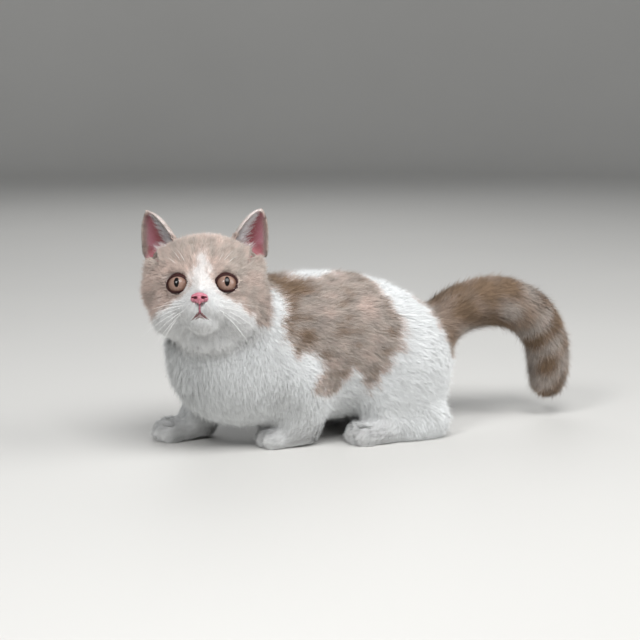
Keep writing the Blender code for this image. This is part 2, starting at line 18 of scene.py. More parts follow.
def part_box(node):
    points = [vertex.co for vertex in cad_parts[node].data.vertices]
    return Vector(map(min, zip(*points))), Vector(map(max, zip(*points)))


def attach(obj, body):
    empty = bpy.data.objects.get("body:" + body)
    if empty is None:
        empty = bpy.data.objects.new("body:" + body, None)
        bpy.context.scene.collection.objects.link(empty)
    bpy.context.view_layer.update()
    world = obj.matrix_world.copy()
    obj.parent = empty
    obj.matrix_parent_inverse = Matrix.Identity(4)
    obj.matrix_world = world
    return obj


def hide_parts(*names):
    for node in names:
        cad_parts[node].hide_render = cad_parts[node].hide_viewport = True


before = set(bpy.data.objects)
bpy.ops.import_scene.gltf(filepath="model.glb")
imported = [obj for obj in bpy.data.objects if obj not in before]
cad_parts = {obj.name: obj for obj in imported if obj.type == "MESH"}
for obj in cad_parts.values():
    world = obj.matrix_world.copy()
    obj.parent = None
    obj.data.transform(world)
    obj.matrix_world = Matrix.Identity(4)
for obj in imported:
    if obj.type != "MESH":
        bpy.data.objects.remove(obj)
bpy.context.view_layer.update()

MM = 0.001

# The head's axes, and where the body's axes start. The left eye's ball in the solids gives the place: it lies
# 23.3 mm ahead of the head's middle, 13.9 mm to its left and 7.6 mm below it.
HEAD_TURN = math.radians(68)
HEAD_TILT = math.radians(26)
HEAD_ROLL = math.radians(1)
head_level = Vector((-math.cos(HEAD_TURN), -math.sin(HEAD_TURN), 0))
head_ahead = head_level * math.cos(HEAD_TILT) + Vector((0, 0, math.sin(HEAD_TILT)))
head_left = Matrix.Rotation(HEAD_ROLL, 3, head_ahead) @ Vector((0, 0, 1)).cross(head_level)
head_up = head_ahead.cross(head_left)
head_axes = np.array((head_ahead, head_left, head_up))
EYE_PLACE = {"left": (23.3, 13.9, -7.6), "right": (23.3, -13.9, -7.6)}
HEAD_MIDDLE = np.array((-71.3, -10.9, 107.1))
eye_low, eye_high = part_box("eye_left")
start = np.array((eye_low + eye_high) / 2 / MM) - np.array(EYE_PLACE["left"]) @ head_axes - HEAD_MIDDLE


def to_row(points):
    """Points in the body's axes, in millimetres, as the row has them, in metres."""
    return (np.asarray(points, float) + start) * MM


def to_head(points):
    """Points in the body's axes as (ahead, left, up) from the middle of the head."""
    return (np.asarray(points, float) - HEAD_MIDDLE) @ head_axes.T


def from_head(points):
    return np.asarray(points, float) @ head_axes + HEAD_MIDDLE


def ease(low, high, value):
    """0 below low, 1 above high, and smooth between them."""
    share = np.clip((value - low) / (high - low), 0, 1)
    return share * share * (3 - 2 * share)


# Skin. The flesh under the coat, in one closed surface from nose to tail, ears included. The solids' nodes
# are swollen until they meet, fused, smoothed, shaped round the eyes and then sunk by the depth of the coat.
SWELL = 0.36
SKIN_VOXEL = 1.18
REGION_OF_NODE = {
    "head": "head", "ear": "ear", "forepaw": "paw", "hindfoot": "paw", "foreleg": "leg", "thigh": "haunch",
    "tail": "tail", "neck": "chest", "chest": "chest", "shoulders": "trunk", "loin": "trunk", "rump": "trunk"
}
REGIONS = ("head", "ear", "paw", "leg", "haunch", "tail", "chest", "trunk")
HIND_TOES_END = 50.0
SOLE_HEIGHT = 0.35
COAT_DEPTH = {
    "head": 3.0, "ear": 0.5, "paw": 2.0, "leg": 3.0, "haunch": 4.8, "tail": 5.8, "chest": 5.4, "trunk": 4.8
}
flesh_nodes = [n for n in sorted(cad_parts) if n.split("_")[0] in REGION_OF_NODE]

joined = bmesh.new()
node_points, node_regions = [], []
for name in flesh_nodes:
    piece = bmesh.new()
    piece.from_mesh(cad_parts[name].data)
    bmesh.ops.remove_doubles(piece, verts=piece.verts, dist=1e-6)
    piece.normal_update()
    region = REGIONS.index(REGION_OF_NODE[name.split("_")[0]])
    places = [face.calc_center_median() for face in piece.faces]
    for place in places + [corner.co.copy() for corner in piece.verts]:
        behind_toes = name.startswith("hindfoot") and place.x / MM - start[0] > HIND_TOES_END
        node_points.append(place)
        node_regions.append(REGIONS.index("leg") if behind_toes else region)
    for corner in piece.verts:
        corner.co += corner.normal * SWELL * MM
    swollen = bpy.data.meshes.new("swollen")
    piece.to_mesh(swollen)
    piece.free()
    joined.from_mesh(swollen)
skin_mesh = bpy.data.meshes.new("skin")
joined.to_mesh(skin_mesh)
joined.free()


def add_object(name, data):
    """A new object in the scene."""
    made = bpy.data.objects.new(name, data)
    bpy.context.scene.collection.objects.link(made)
    return made


def read(items, field, width=3, kind=float):
    """One field of all the items of a mesh, a row to each."""
    found = np.empty(len(items) * width, kind)
    items.foreach_get(field, found)
    return found.reshape(-1, width)


def apply_modifiers(obj):
    """Leaves the object with the mesh that its modifiers make."""
    graph = bpy.context.evaluated_depsgraph_get()
    made = bpy.data.meshes.new_from_object(obj.evaluated_get(graph))
    obj.modifiers.clear()
    obj.data = made


skin = add_object("skin", skin_mesh)
remesh = skin.modifiers.new("Fuse", "REMESH")
remesh.mode = "VOXEL"
remesh.voxel_size = SKIN_VOXEL * MM
apply_modifiers(skin)


def keep_largest(obj):
    """Drops loose scraps, so that one closed surface is left."""
    mesh = bmesh.new()
    mesh.from_mesh(obj.data)
    seen, largest = set(), []
    for first in mesh.verts:
        if first in seen:
            continue
        seen.add(first)
        island, front = [first], [first]
        while front:
            corner = front.pop()
            for edge in corner.link_edges:
                other = edge.other_vert(corner)
                if other not in seen:
                    seen.add(other)
                    island.append(other)
                    front.append(other)
        if len(island) > len(largest):
            largest = island
    kept = set(largest)
    bmesh.ops.delete(mesh, geom=[v for v in mesh.verts if v not in kept], context="VERTS")
    mesh.to_mesh(obj.data)
    mesh.free()


keep_largest(skin)
count = len(skin.data.vertices)
spots = read(skin.data.vertices, "co") / MM - start
edge_ends = read(skin.data.edges, "vertices", 2, int)
edge_ends = np.concatenate([edge_ends, edge_ends[:, ::-1]])
valence = np.bincount(edge_ends[:, 0], minlength=count)[:, None]


def spread(values, rounds, rate=1.0):
    """Each vertex's values drawn towards the mean of its neighbours', so many times."""
    for _ in range(rounds):
        mean = [np.bincount(edge_ends[:, 0], column[edge_ends[:, 1]], count) for column in values.T]
        values = values + rate * (np.stack(mean, 1) / valence - values)
    return values


def search_tree(points):
    """A tree that finds the nearest of the points."""
    tree = KDTree(len(points))
    for index, point in enumerate(points):
        tree.insert(point, index)
    tree.balance()
    return tree


region_tree = search_tree(node_points)
nearest = [node_regions[region_tree.find(point)[1]] for point in to_row(spots)]
share = np.zeros((count, len(REGIONS)))
share[np.arange(count), nearest] = 1
share = spread(share, 50)


def part_of(shares, name):
    """The share that one region has at each point."""
    return shares[:, REGIONS.index(name)]


fine = spread(sum(part_of(share, name) for name in ("head", "ear", "paw"))[:, None], 5)
for _ in range(4):
    loose = spread(spots, 3, 0.7)
    spots = spots + (1 - 0.72 * np.clip(fine, 0, 1)) * (loose - spots)


def normals_of(points):
    """Outward normals of the skin with its vertices at those points."""
    skin.data.vertices.foreach_set("co", to_row(points).ravel())
    skin.data.update()
    return read(skin.data.vertex_normals, "vector")


# The muzzle points a little further to the cat's right than the eyes do, and the lids are drawn open and up
MUZZLE_SWING = 0.07
MUZZLE_FROM = 23.0
NOSE_TIP = (38, 0, -20)
LID_PULL = (1.05, 0.70)
LID_RAISE = 0.65
CHEEK_ROUNDS, LID_ROUNDS = 45, 60
LID_AHEAD, LID_ASIDE, LID_UP = 8.2, 1.3, 0.3
LID_SHAPE = (0.6, 0.9, 1.05)


def lid_middle(side, ahead=LID_AHEAD):
    """The middle of an eye's opening, in the head's axes, from the middle of its ball."""
    return np.array(EYE_PLACE[side]) + (ahead, LID_ASIDE if side == "left" else -LID_ASIDE, LID_UP)


def from_lids(points, side):
    """How far points of the head are from the middle of an eye's opening, the same all along its edge."""
    return np.linalg.norm((points - lid_middle(side)) * LID_SHAPE, axis=1)


local = to_head(spots)
swing = -MUZZLE_SWING * np.maximum(0, local[:, 0] - MUZZLE_FROM) * part_of(share, "head")
spots = spots + swing[:, None] * head_axes[1]
for side in ("left", "right"):
    pole = lid_middle(side)
    off = local - pole
    gap = np.maximum(np.linalg.norm(off[:, 1:], axis=1), 1e-6)
    near = (1 - ease(7.5, 13, gap)) * (1 - ease(8, 12, np.abs(off[:, 0])))
    pulled = off[:, 1:] / gap[:, None] * LID_PULL + (0, LID_RAISE)
    spots = spots + (near[:, None] * pulled) @ head_axes[1:]
# Under each eye the fur of the cheek runs up to the lid with no groove between them
local = to_head(spots)
under_eye = np.zeros(count)
round_lids = np.zeros(count)
for side in ("left", "right"):
    pole = lid_middle(side)
    off = local - pole
    gap = np.linalg.norm(off[:, 1:] * (0.85, 1), axis=1)
    below = 1 - ease(-3, 1, off[:, 2])
    zone = ease(7.0, 8.2, gap) * (1 - ease(13, 17, gap)) * below * ease(-12, -8, off[:, 0])
    beyond = from_lids(local, side)
    outer = off[:, 1] * (1 if side == "left" else -1)
    low_or_outer = np.maximum(below, ease(2, 5, outer) * (1 - ease(2, 5, off[:, 2])))
    beside = ease(6.4, 7.6, beyond) * (1 - ease(11, 15, beyond)) * low_or_outer * ease(-13, -9, off[:, 0])
    under_eye = np.maximum(under_eye, np.maximum(zone, beside))
    from_lid = beyond + 1.3 * (1 - ease(-4, -1, off[:, 2]))
    zone = ease(6.4, 7.4, from_lid) * (1 - ease(10, 13, beyond)) * ease(-13, -9, off[:, 0])
    round_lids = np.maximum(round_lids, zone)
for _ in range(CHEEK_ROUNDS):
    loose = spread(spots, 1)
    spots = spots + under_eye[:, None] * (loose - spots)
spots = spots + (0.9 * spread(under_eye[:, None], 6)) * normals_of(spots)
solid_spots = spots.copy()
local = to_head(spots)
from_nose = np.linalg.norm(local - NOSE_TIP, axis=1)
head_depth = 0.7 + (COAT_DEPTH["head"] - 0.7) * ease(6, 42, from_nose)
for side in ("left", "right"):
    head_depth *= 0.06 + 0.94 * ease(6.5, 13, np.linalg.norm(local - lid_middle(side), axis=1))
depths = np.array([COAT_DEPTH[name] for name in REGIONS])
depth = share @ depths + part_of(share, "head") * (head_depth - COAT_DEPTH["head"])
depth = spread(depth[:, None], 4)[:, 0]
# The sole and the part of a toe that presses on the floor keep their place. The cup of each ear runs on down
# its outer side as a shallow groove before the ear's root, given by its two ends: aside, up and half width.
EAR_FACING = (0.80, 0.60, 0.0)
EAR_GROOVE = ((34.6, 26.0, 4.2), (28.6, 8.6, 1.2))
EAR_GROOVE_DEPTH = 1.1


def groove_distance(points):
    """How far points of the head are from the middle of the groove under an ear, in half widths of it."""
    top, low = np.array(EAR_GROOVE)
    run = (low - top)[:2]
    off = np.stack([np.abs(points[:, 1]), points[:, 2]], 1) - top[:2]
    t = np.clip(off @ run / (run @ run), 0, 1)
    return np.linalg.norm(off - t[:, None] * run, axis=1) / (top[2] + t * (low[2] - top[2]))


def as_ears_face(points, directions):
    """How far the directions at points of the head agree with the way that the ear of that side faces."""
    agreeing = np.zeros(len(points))
    for turn in (1, -1):
        way = np.array((EAR_FACING[0], EAR_FACING[1] * turn, EAR_FACING[2])) @ head_axes
        agreeing = np.where(points[:, 1] * turn > 0, directions @ way, agreeing)
    return agreeing


normals = normals_of(spots)
facing = as_ears_face(local, normals)
ear_groove = (1 - ease(0.55, 1.1, groove_distance(local))) * ease(0.1, 0.4, facing)
ear_groove *= part_of(share, "head") + part_of(share, "ear")
groove_depth = EAR_GROOVE_DEPTH * ear_groove * (1 - ease(0.1, 0.5, part_of(share, "ear")))
depth += groove_depth
depth *= 1 - 0.75 * ease(-0.5, -0.95, normals[:, 2]) * (1 - ease(3, 9, spots[:, 2]))
for step in range(4):
    spots = spots - normals_of(spots) * (depth / 4)[:, None]
    loose = spread(spots, 1, 0.5)
    spots = spots + (1 - 0.8 * np.clip(fine, 0, 1)) * (loose - spots)
for _ in range(LID_ROUNDS):
    loose = spread(spots, 1)
    spots = spots + round_lids[:, None] * (loose - spots)
spots[:, 2] = np.maximum(spots[:, 2], SOLE_HEIGHT)
normals = normals_of(spots)
local = to_head(spots)
depth = np.maximum(((solid_spots - spots) * normals).sum(1) - groove_depth, 0.1)


# Markings. White ground with a saddle patch over the back and both flanks, a cap over the head with a white
# blaze, and the whole tail. They are worked out once, on the skin, and the coat takes them from its roots.
def ripple(points, size, seed):
    """Smooth noise of about -1 to 1 at points, in blobs about that many millimetres across."""
    draw = np.random.default_rng(seed)
    waves = draw.normal(size=(3, 28)) * 1.9 / size
    return np.sin(points @ waves + draw.uniform(0, 2 * math.pi, 28)).sum(1) / 3.7


def depth_inside(points, outline):
    """How far each flat point is inside a closed outline. Outside it is below 0."""
    outline = np.array(outline, float)
    nearest_edge = np.full(len(points), 1e9)
    inside = np.zeros(len(points), bool)
    for a, b in zip(outline, np.roll(outline, -1, axis=0)):
        along = b - a
        t = np.clip(((points - a) @ along) / (along @ along), 0, 1)
        nearest_edge = np.minimum(nearest_edge, np.linalg.norm(points - a - t[:, None] * along, axis=1))
        crosses = (a[1] > points[:, 1]) != (b[1] > points[:, 1])
        rise = np.where(b[1] == a[1], 1e-9, b[1] - a[1])
        inside ^= crosses & (points[:, 0] < (b[0] - a[0]) * (points[:, 1] - a[1]) / rise + a[0])
    return np.where(inside, nearest_edge, -nearest_edge)


# Outlines of the saddle: millimetres along the body, and girth, millimetres round from the ridge of the back
GIRTH_PER_RADIAN = 44.0
GIRTH_AXIS_HEIGHT = 60.0
SADDLE_LEFT = (
    (-44, -4), (-34, 18), (-23, 26), (-20, 32), (-27, 44), (-29, 53), (-23, 61), (-10, 65),
    (-3, 70), (-5, 87), (4, 95), (14, 89), (19, 79), (25, 84), (31, 94), (35, 88), (38, 79),
    (47, 69), (55, 67), (58, 58), (55, 44), (52, 28), (47, 15), (40, 4), (28, -6), (20, 5), (4, 9),
    (-9, 7), (-16, -4),
)
SADDLE_RIGHT = (
    (-46, 6), (-42, -20), (-30, -34), (-26, -52), (-12, -60), (4, -72), (14, -66), (24, -78),
    (36, -70), (50, -54), (52, -30), (44, -10), (38, 8), (26, 8), (18, -14), (4, -20), (-6, -10),
    (-16, 6),
)


def markings_at(points, tail_share, head_share):
    """How much colour the coat has at each point, from 0 for white to 1 for the tail's brown."""
    girth = np.arctan2(-points[:, 1], points[:, 2] - GIRTH_AXIS_HEIGHT) * GIRTH_PER_RADIAN
    flat = np.stack([points[:, 0] + 1.6 * ripple(points, 7, 1), girth + 2.2 * ripple(points, 6, 2)], 1)
    saddle = np.maximum(depth_inside(flat, SADDLE_LEFT), depth_inside(flat, SADDLE_RIGHT))
    saddle = ease(-3.2, 4.2, saddle + 1.1 * ripple(points * (0.35, 1, 1), 1.8, 3))
    saddle *= 0.76 + 0.06 * ripple(points, 16, 4) + 0.07 * ripple(points * (0.4, 1, 1), 4, 5)
    saddle *= 1 + 0.18 * (1 - ease(-30, 6, points[:, 0]))
    saddle *= (1 - head_share) * (1 - tail_share)

    place_on_head = to_head(points)
    ahead, left, up = place_on_head.T
    heights = (-60, -31, -28, -25, -22, -19, -15.5, -12, -8, -4, 0, 5.5, 9, 12, 16, 60)
    widths = (60, 60, 36, 30, 24, 17.5, 12.0, 8.2, 6.0, 5.0, 4.2, 3.0, 2.0, 0.6, -3, -30)
    white_half = np.interp(up + 0.8 * ripple(points, 4, 6), heights, widths)
    soft = 2.6 + 3.0 * (1 - ease(-18, -8, up)) + 1.5 * ease(2, 10, up)
    cap = ease(-1, 1.2, (np.abs(left) - white_half + 1.2 * ripple(points * (1, 1, 0.5), 2.2, 7)) / soft)
    behind = 1 - ease(-14, 2, ahead)
    nape = ease(-12, -4, up + 5 * ripple(points, 9, 8))
    cap = cap * (1 - behind) + behind * nape
    streak = np.cos(left * 1.05 + 0.5 * ripple(points, 8, 9))
    brow = ease(3, 9, up) * (1 - ease(24, 34, up)) * ease(4, 14, ahead)
    tone = 0.53 + 0.045 * ripple(points, 8, 10) + 0.04 * ripple(points, 3, 14) + 0.06 * brow * streak
    tone += 0.11 * ease(-4, 12, up) + 0.09 * ease(14, 26, left) * (1 - ease(4, 14, up))
    for side in ("left", "right"):
        ring = 1 - ease(6.2, 8.4, from_lids(place_on_head, side))
        tone *= 1 - ring * (0.46 - 0.44 * ease(-2, 3, up - lid_middle(side)[2]))
    tone *= 1 - 0.50 * ease(24, 34, up) * ease(2, 8, ahead)
    cap = np.maximum(cap * tone, 0.05 + 0.13 * ease(-17, -8, up)) * head_share

    along = points[:, 0] + np.maximum(0, 82 - points[:, 2]) * ease(150, 160, points[:, 0])
    bands = np.cos((along - 195) * 2 * math.pi / 23.5)
    bands *= ease(168, 182, along)
    tail = tail_share * (0.97 + 0.08 * ripple(points, 12, 11) - 0.10 * ease(160, 180, along) + 0.11 * bands)
    return np.clip(saddle + cap + tail, 0, 1.15)


# The tail's colour starts at a plane across its root, and the cap's ends behind the skull
tail_reach = (spots[:, 0] - 91) * 0.80 + (spots[:, 2] - 63) * 0.60 + 1.5 * ripple(spots, 5, 12)
tail_share = ease(-1.5, 2.5, tail_reach) * (spots[:, 0] > 70)
head_share = np.clip(part_of(share, "head") + part_of(share, "ear"), 0, 1)
head_share = ease(0.25, 0.6, head_share + 0.05 * ripple(spots, 5, 13))
marking = markings_at(spots, tail_share, head_share)


def keep_values(mesh, name, values):
    """Keeps a number for each point of a mesh, which its material reads by that name."""
    layer = mesh.attributes.new(name, "FLOAT", "POINT")
    layer.data.foreach_set("value", values.astype(np.float32))


keep_values(skin.data, "marking", marking)

# Bare skin shows in the cup of each ear, where its surface faces the way that the ear does
facing = as_ears_face(local, normals)
below_rim = ((spread(spots, 4) - spots) * normals).sum(1)
cup = ease(0.05, 0.45, facing) * ease(0.20, 0.60, part_of(share, "ear")) * ease(15, 21, local[:, 2])
cup = spread(np.maximum(cup * ease(-0.10, 0.0, below_rim), ear_groove)[:, None], 2)[:, 0]
for side in ("left", "right"):
    cup = np.maximum(cup, 0.5 * (1 - ease(6.0, 7.0, from_lids(local, side))))
keep_values(skin.data, "bare", cup)
# The cup is brownish pink in its depth and mauve towards its outer edge
towards_edge = ease(26, 39, np.abs(local[:, 1]) - 0.28 * (local[:, 2] - 30)) * (1 - 0.75 * ear_groove)
keep_values(skin.data, "outer_cup", towards_edge)


def colour(code, alpha=1.0):
    """An sRGB hex value as the linear colour that a socket takes."""
    parts = [int(code[i : i + 2], 16) / 255 for i in (1, 3, 5)]
    return (*[p / 12.92 if p <= 0.04045 else ((p + 0.055) / 1.055) ** 2.4 for p in parts], alpha)


def add_node(tree, kind, inputs=None, **settings):
    """Adds a node with its settings, and gives each input its value or the socket that feeds it."""
    made = tree.nodes.new(kind)
    for name, value in settings.items():
        setattr(made, name, value)
    for socket, value in (inputs or {}).items():
        if isinstance(value, bpy.types.NodeSocket):
            tree.links.new(value, made.inputs[socket])
        else:
            made.inputs[socket].default_value = value
    return made


def new_material(name):
    """A material with its node tree emptied down to the shader."""
    made = bpy.data.materials.new(name)
    made.use_nodes = True
    return made, made.node_tree, made.node_tree.nodes["Principled BSDF"]


# Kitten skin with its down: pink where it is bare, and the colour of the woolly undercoat elsewhere. The same
# row of colours runs from white over the head's warm beige and the saddle's lilac to the tail's brown.
COAT_COLOURS = ((0.0, "#EDEFEF"), (0.5, "#BBA79D"), (0.76, "#A19890"), (0.90, "#8E7D70"), (1.0, "#78634F"))


def coat_ground(tree):
    """The marking's value and the coat's colour for it, in the tree of a material."""
    marked = add_node(tree, "ShaderNodeAttribute", attribute_name="marking")
    ground = add_node(tree, "ShaderNodeValToRGB", {"Fac": marked.outputs["Fac"]})
    steps = ground.color_ramp.elements
    while len(steps) < len(COAT_COLOURS):
        steps.new(1.0)
    for step, (position, code) in zip(steps, COAT_COLOURS):
        step.position = position
        step.color = colour(code)
    return marked.outputs["Fac"], ground.outputs["Color"]


skin_material, tree, shader = new_material("kitten_skin_and_down")
down = coat_ground(tree)[1]
naked = add_node(tree, "ShaderNodeAttribute", attribute_name="bare")
place = add_node(tree, "ShaderNodeTexCoord")
blotch = add_node(
    tree, "ShaderNodeTexNoise", {"Vector": place.outputs["Object"], "Scale": 1000 / 9, "Detail": 3.0}
)
pinks = add_node(
    tree,
    "ShaderNodeMix",
    {0: blotch.outputs["Fac"], 6: colour("#742D34"), 7: colour("#9F5258")},
    data_type="RGBA",
)
outer_cup = add_node(tree, "ShaderNodeAttribute", attribute_name="outer_cup")
cup_colour = add_node(
    tree,
    "ShaderNodeMix",
    {0: outer_cup.outputs["Fac"], 6: pinks.outputs[2], 7: colour("#B67F8D")},
    data_type="RGBA",
)
surface = add_node(
    tree,
    "ShaderNodeMix",
    {0: naked.outputs["Fac"], 6: down, 7: cup_colour.outputs[2]},
    data_type="RGBA",
)
fibre = add_node(
    tree, "ShaderNodeTexNoise", {"Vector": place.outputs["Object"], "Scale": 1000 / 0.8, "Detail": 2.0}
)
grain = add_node(
    tree, "ShaderNodeBump", {"Height": fibre.outputs["Fac"], "Strength": 0.35, "Distance": 0.0003}
)
tree.links.new(surface.outputs[2], shader.inputs["Base Color"])
tree.links.new(grain.outputs["Normal"], shader.inputs["Normal"])
shader.inputs["Roughness"].default_value = 0.62
shader.inputs["Subsurface Weight"].default_value = 0.12
shader.inputs["Subsurface Radius"].default_value = (0.004, 0.0015, 0.001)
skin.data.materials.append(skin_material)


def shade_smooth(mesh):
    mesh.polygons.foreach_set("use_smooth", [True] * len(mesh.polygons))


shade_smooth(skin.data)
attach(skin, "root")
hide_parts(*flesh_nodes)


# Lie of the coat. It runs back from the nose over the head and body, down the chest, flanks and legs,
# forward over the paws and along the tail to its tip.
COAT_FROM = (40, 0, -16)
TAIL_PATH = (
    (80, 0, 52), (95, 0, 66), (111, -1, 76.5), (129, -2, 82), (148, -4, 82), (166, -7, 73.5),
    (177, -9, 57), (180, -11, 38), (179, -12, 20),
)


def unit(vectors):
    return vectors / np.maximum(np.linalg.norm(vectors, axis=-1, keepdims=True), 1e-9)


def steady(x, y, z):
    return unit(np.stack([np.broadcast_to(np.asarray(part, float), count) for part in (x, y, z)], 1))


steep = np.abs(normals[:, 1])
upward = np.clip(normals[:, 2], 0, 1)
path = np.array(TAIL_PATH, float)
middles = (path[1:] + path[:-1]) / 2
gap_to_path = np.linalg.norm(spots[:, None] - middles[None], axis=2)
pull = 1 / np.maximum(gap_to_path, 4) ** 4
along_tail = unit(pull @ unit(path[1:] - path[:-1]) / pull.sum(1, keepdims=True))
ear_side = np.sign(local[:, 1])
ear_way = unit(np.stack([np.full(count, 7.0), 10.5 * ear_side, np.full(count, 32.5)], 1)) @ head_axes
lies = {
    "head": unit(local - COAT_FROM - (0, 0, 3)) @ head_axes,
    "ear": ear_way,
    "paw": steady(-1, 0, -0.35),
    "leg": steady(0.12, 0, -1),
    "haunch": steady(0.75, 0, -0.75),
    "tail": along_tail,
    "chest": steady(0.22 + 0.85 * upward, 0.12 * upward, -1 + 0.55 * upward),
    "trunk": steady(1, 0, -0.10 - 0.45 * steep),
}
lie = sum(part_of(share, name)[:, None] * way for name, way in lies.items())
lie = spread(lie, 16)
lie -= (lie * normals).sum(1, keepdims=True) * normals
lie = unit(lie)

# Coat. Short, dense and soft: about 7 mm long on the body, 8 mm on the tail, 1 to 8 mm on the head and 4.5 mm
# on the feet. A blade stands for a few hairs. It roots in the skin, bends over once and leans towards its
# lock's middle. A few guard hairs are longer and thinner and stand out more.
BLADES = 720000
LENGTH_PER_DEPTH = 1.45
TIP_LEAN = 0.55
LOCK_PULL = 0.11
GUARD_SHARE, GUARD_LENGTH, GUARD_WIDTH = 0.11, 1.28, 0.75
FRINGE_LONGER, CHEEK_LONGER, FOOT_LONGER, LEG_LONGER, HEEL_LONGER = 1.1, 0.6, 0.75, 0.15, 0.55
OVER_GROOVE_KEPT = 0.35
ROOT_SINK = 0.35
HAIRS_PER_MM2 = {
    "head": 9.0, "ear": 9.0, "paw": 7.0, "leg": 5.6, "haunch": 4.4, "tail": 4.6, "chest": 4.4, "trunk": 4.6
}
HAIR_WIDTH = {
    "head": 0.25, "ear": 0.20, "paw": 0.33, "leg": 0.34, "haunch": 0.31, "tail": 0.31, "chest": 0.32,
    "trunk": 0.31
}
HAIRS_TO_A_LOCK = 9
EAR_FRINGE = ((12.0, 20.0, 28.5), (9.8, 26.0, 26.0))
draw = np.random.default_rng(40)

skin.data.calc_loop_triangles()
corners = read(skin.data.loop_triangles, "vertices", 3, np.int32)
sides = spots[corners]
area = np.linalg.norm(np.cross(sides[:, 1] - sides[:, 0], sides[:, 2] - sides[:, 0]), axis=1) / 2
thick = share @ np.array([HAIRS_PER_MM2[name] for name in REGIONS])
thick = thick * (1 - 0.97 * cup)
# Hardly anything grows on the sole, and less under the belly, where it can't be seen
thick *= 1 - 0.9 * ease(-0.6, -0.95, normals[:, 2]) * (1 - ease(2, 6, spots[:, 2]))
thick *= 1 - 0.45 * ease(-0.3, -0.8, normals[:, 2])
nose_gap = np.linalg.norm((local - (39.5, -1.1, -20.0)) / (5.0, 5.9, 4.4), axis=1)
thick *= ease(0.9, 1.15, nose_gap)
for side in ("left", "right"):
    pole = lid_middle(side, LID_AHEAD + 0.2)
    # Hair on the nose's side of the eye points at it, so it roots a little further off
    off = local - pole + (0, 0.45 if side == "left" else -0.45, 0.15)
    thick *= ease(0.95, 1.05, np.linalg.norm(off / (8.0, 6.7, 5.7), axis=1))
weight = np.cumsum(area * thick[corners].mean(1))
print(f"skin {len(corners)} triangles, {area.sum():.0f} mm2, {weight[-1]:.0f} blades wanted")
picks = (np.arange(BLADES) + draw.uniform(0, 1, BLADES)) / BLADES * weight[-1]
home = np.minimum(np.searchsorted(weight, picks), len(corners) - 1)
a, b = draw.uniform(0, 1, (2, BLADES))
fold = a + b > 1
a, b = np.where(fold, 1 - a, a), np.where(fold, 1 - b, b)
blend = np.stack([1 - a - b, a, b], 1)


def at_roots(values):
    """A value of the skin's vertices at each blade's root."""
    return (values[corners[home]] * (blend[:, :, None] if values.ndim == 2 else blend)).sum(1)


root = at_roots(spots)
root_normal = unit(at_roots(normals))
root_lie = at_roots(lie)
root_share = at_roots(share)
root_depth = at_roots(depth)

# Locks: each blade belongs to the nearest of the blades picked as middles
middle_of_lock = np.flatnonzero(draw.uniform(0, 1, BLADES) < 1 / HAIRS_TO_A_LOCK)
lock_tree = search_tree(root[middle_of_lock])
lock = middle_of_lock[[lock_tree.find(place_of)[1] for place_of in root]]
lock_turn = draw.normal(0, 0.08, BLADES)[lock]
lock_length = draw.normal(1, 0.05, BLADES)[lock]
lock_lift = draw.normal(0, 0.03, BLADES)[lock]

turn = 0.12 * ripple(root, 26, 41) + 0.05 * ripple(root, 9, 42) + lock_turn + draw.normal(0, 0.26, BLADES)
along = root_lie - (root_lie * root_normal).sum(1, keepdims=True) * root_normal
along = unit(along)
across = np.cross(root_normal, along)
along, across = (
    along * np.cos(turn)[:, None] + across * np.sin(turn)[:, None],
    across * np.cos(turn)[:, None] - along * np.sin(turn)[:, None],
)
root_local = to_head(root)
fringe = np.full(BLADES, 99.0)
for near_end, far_end in zip(EAR_FRINGE, EAR_FRINGE[1:]):
    span = np.array(far_end) - near_end
    folded = np.stack([root_local[:, 0], np.abs(root_local[:, 1]), root_local[:, 2]], 1) - near_end
    t = np.clip(folded @ span / (span @ span), 0, 1)
    fringe = np.minimum(fringe, np.linalg.norm(folded - t[:, None] * span, axis=1))
fringe = 1 - ease(2.0, 5.0, fringe)
length = np.maximum((root_depth - 0.8 * SWELL) * LENGTH_PER_DEPTH, 1.1)
length *= 1 + FRINGE_LONGER * fringe
on_cheek = part_of(root_share, "head") * ease(10, 30, np.linalg.norm(root_local - NOSE_TIP, axis=1))
on_foot = part_of(root_share, "paw")
on_leg = part_of(root_share, "leg")
length *= 1 + CHEEK_LONGER * on_cheek + FOOT_LONGER * on_foot + LEG_LONGER * on_leg
length *= np.clip(lock_length, 0.75, 1.25) * draw.normal(1, 0.11, BLADES).clip(0.7, 1.3)
heel = ease(50, 60, root[:, 0]) * (1 - ease(20, 30, root[:, 2])) * on_leg
length *= 1 + HEEL_LONGER * heel
guard = draw.uniform(0, 1, BLADES) < GUARD_SHARE
length *= np.where(guard, GUARD_LENGTH, 1)
lift = 2 / LENGTH_PER_DEPTH / (1 + TIP_LEAN) * 1.04
lift = lift + lock_lift * (1 + 1.5 * on_foot) + draw.normal(0, 0.12, BLADES) * (1 + 0.8 * on_foot)
on_head = part_of(root_share, "head")
on_body = 1 - on_head - part_of(root_share, "ear") - on_foot
stand = np.where(guard, 0.10 + 0.35 * on_cheek + 0.20 * on_body, 0)
lift = ((lift + stand + 0.15 * fringe) * (1 - 0.46 * on_cheek)).clip(0.15, 1.3)
lift *= 1 - 0.15 * on_foot
bend = TIP_LEAN + draw.normal(0, 0.12, BLADES)
half = (length / 2)[:, None]
to_lock = root[lock] - root
to_lock -= (to_lock * root_normal).sum(1, keepdims=True) * root_normal
reach = np.minimum(1, 0.5 * length / np.maximum(np.linalg.norm(to_lock, axis=1), 1e-6))
to_lock *= reach[:, None] * LOCK_PULL
sway = (draw.normal(0, 0.06, BLADES) * length)[:, None] * across
middle = root + half * (along * np.cos(lift)[:, None] + root_normal * np.sin(lift)[:, None])
tip = middle + half * (along * np.cos(lift * bend)[:, None] + root_normal * np.sin(lift * bend)[:, None])
middle = middle + 0.3 * to_lock + sway
tip = tip + to_lock
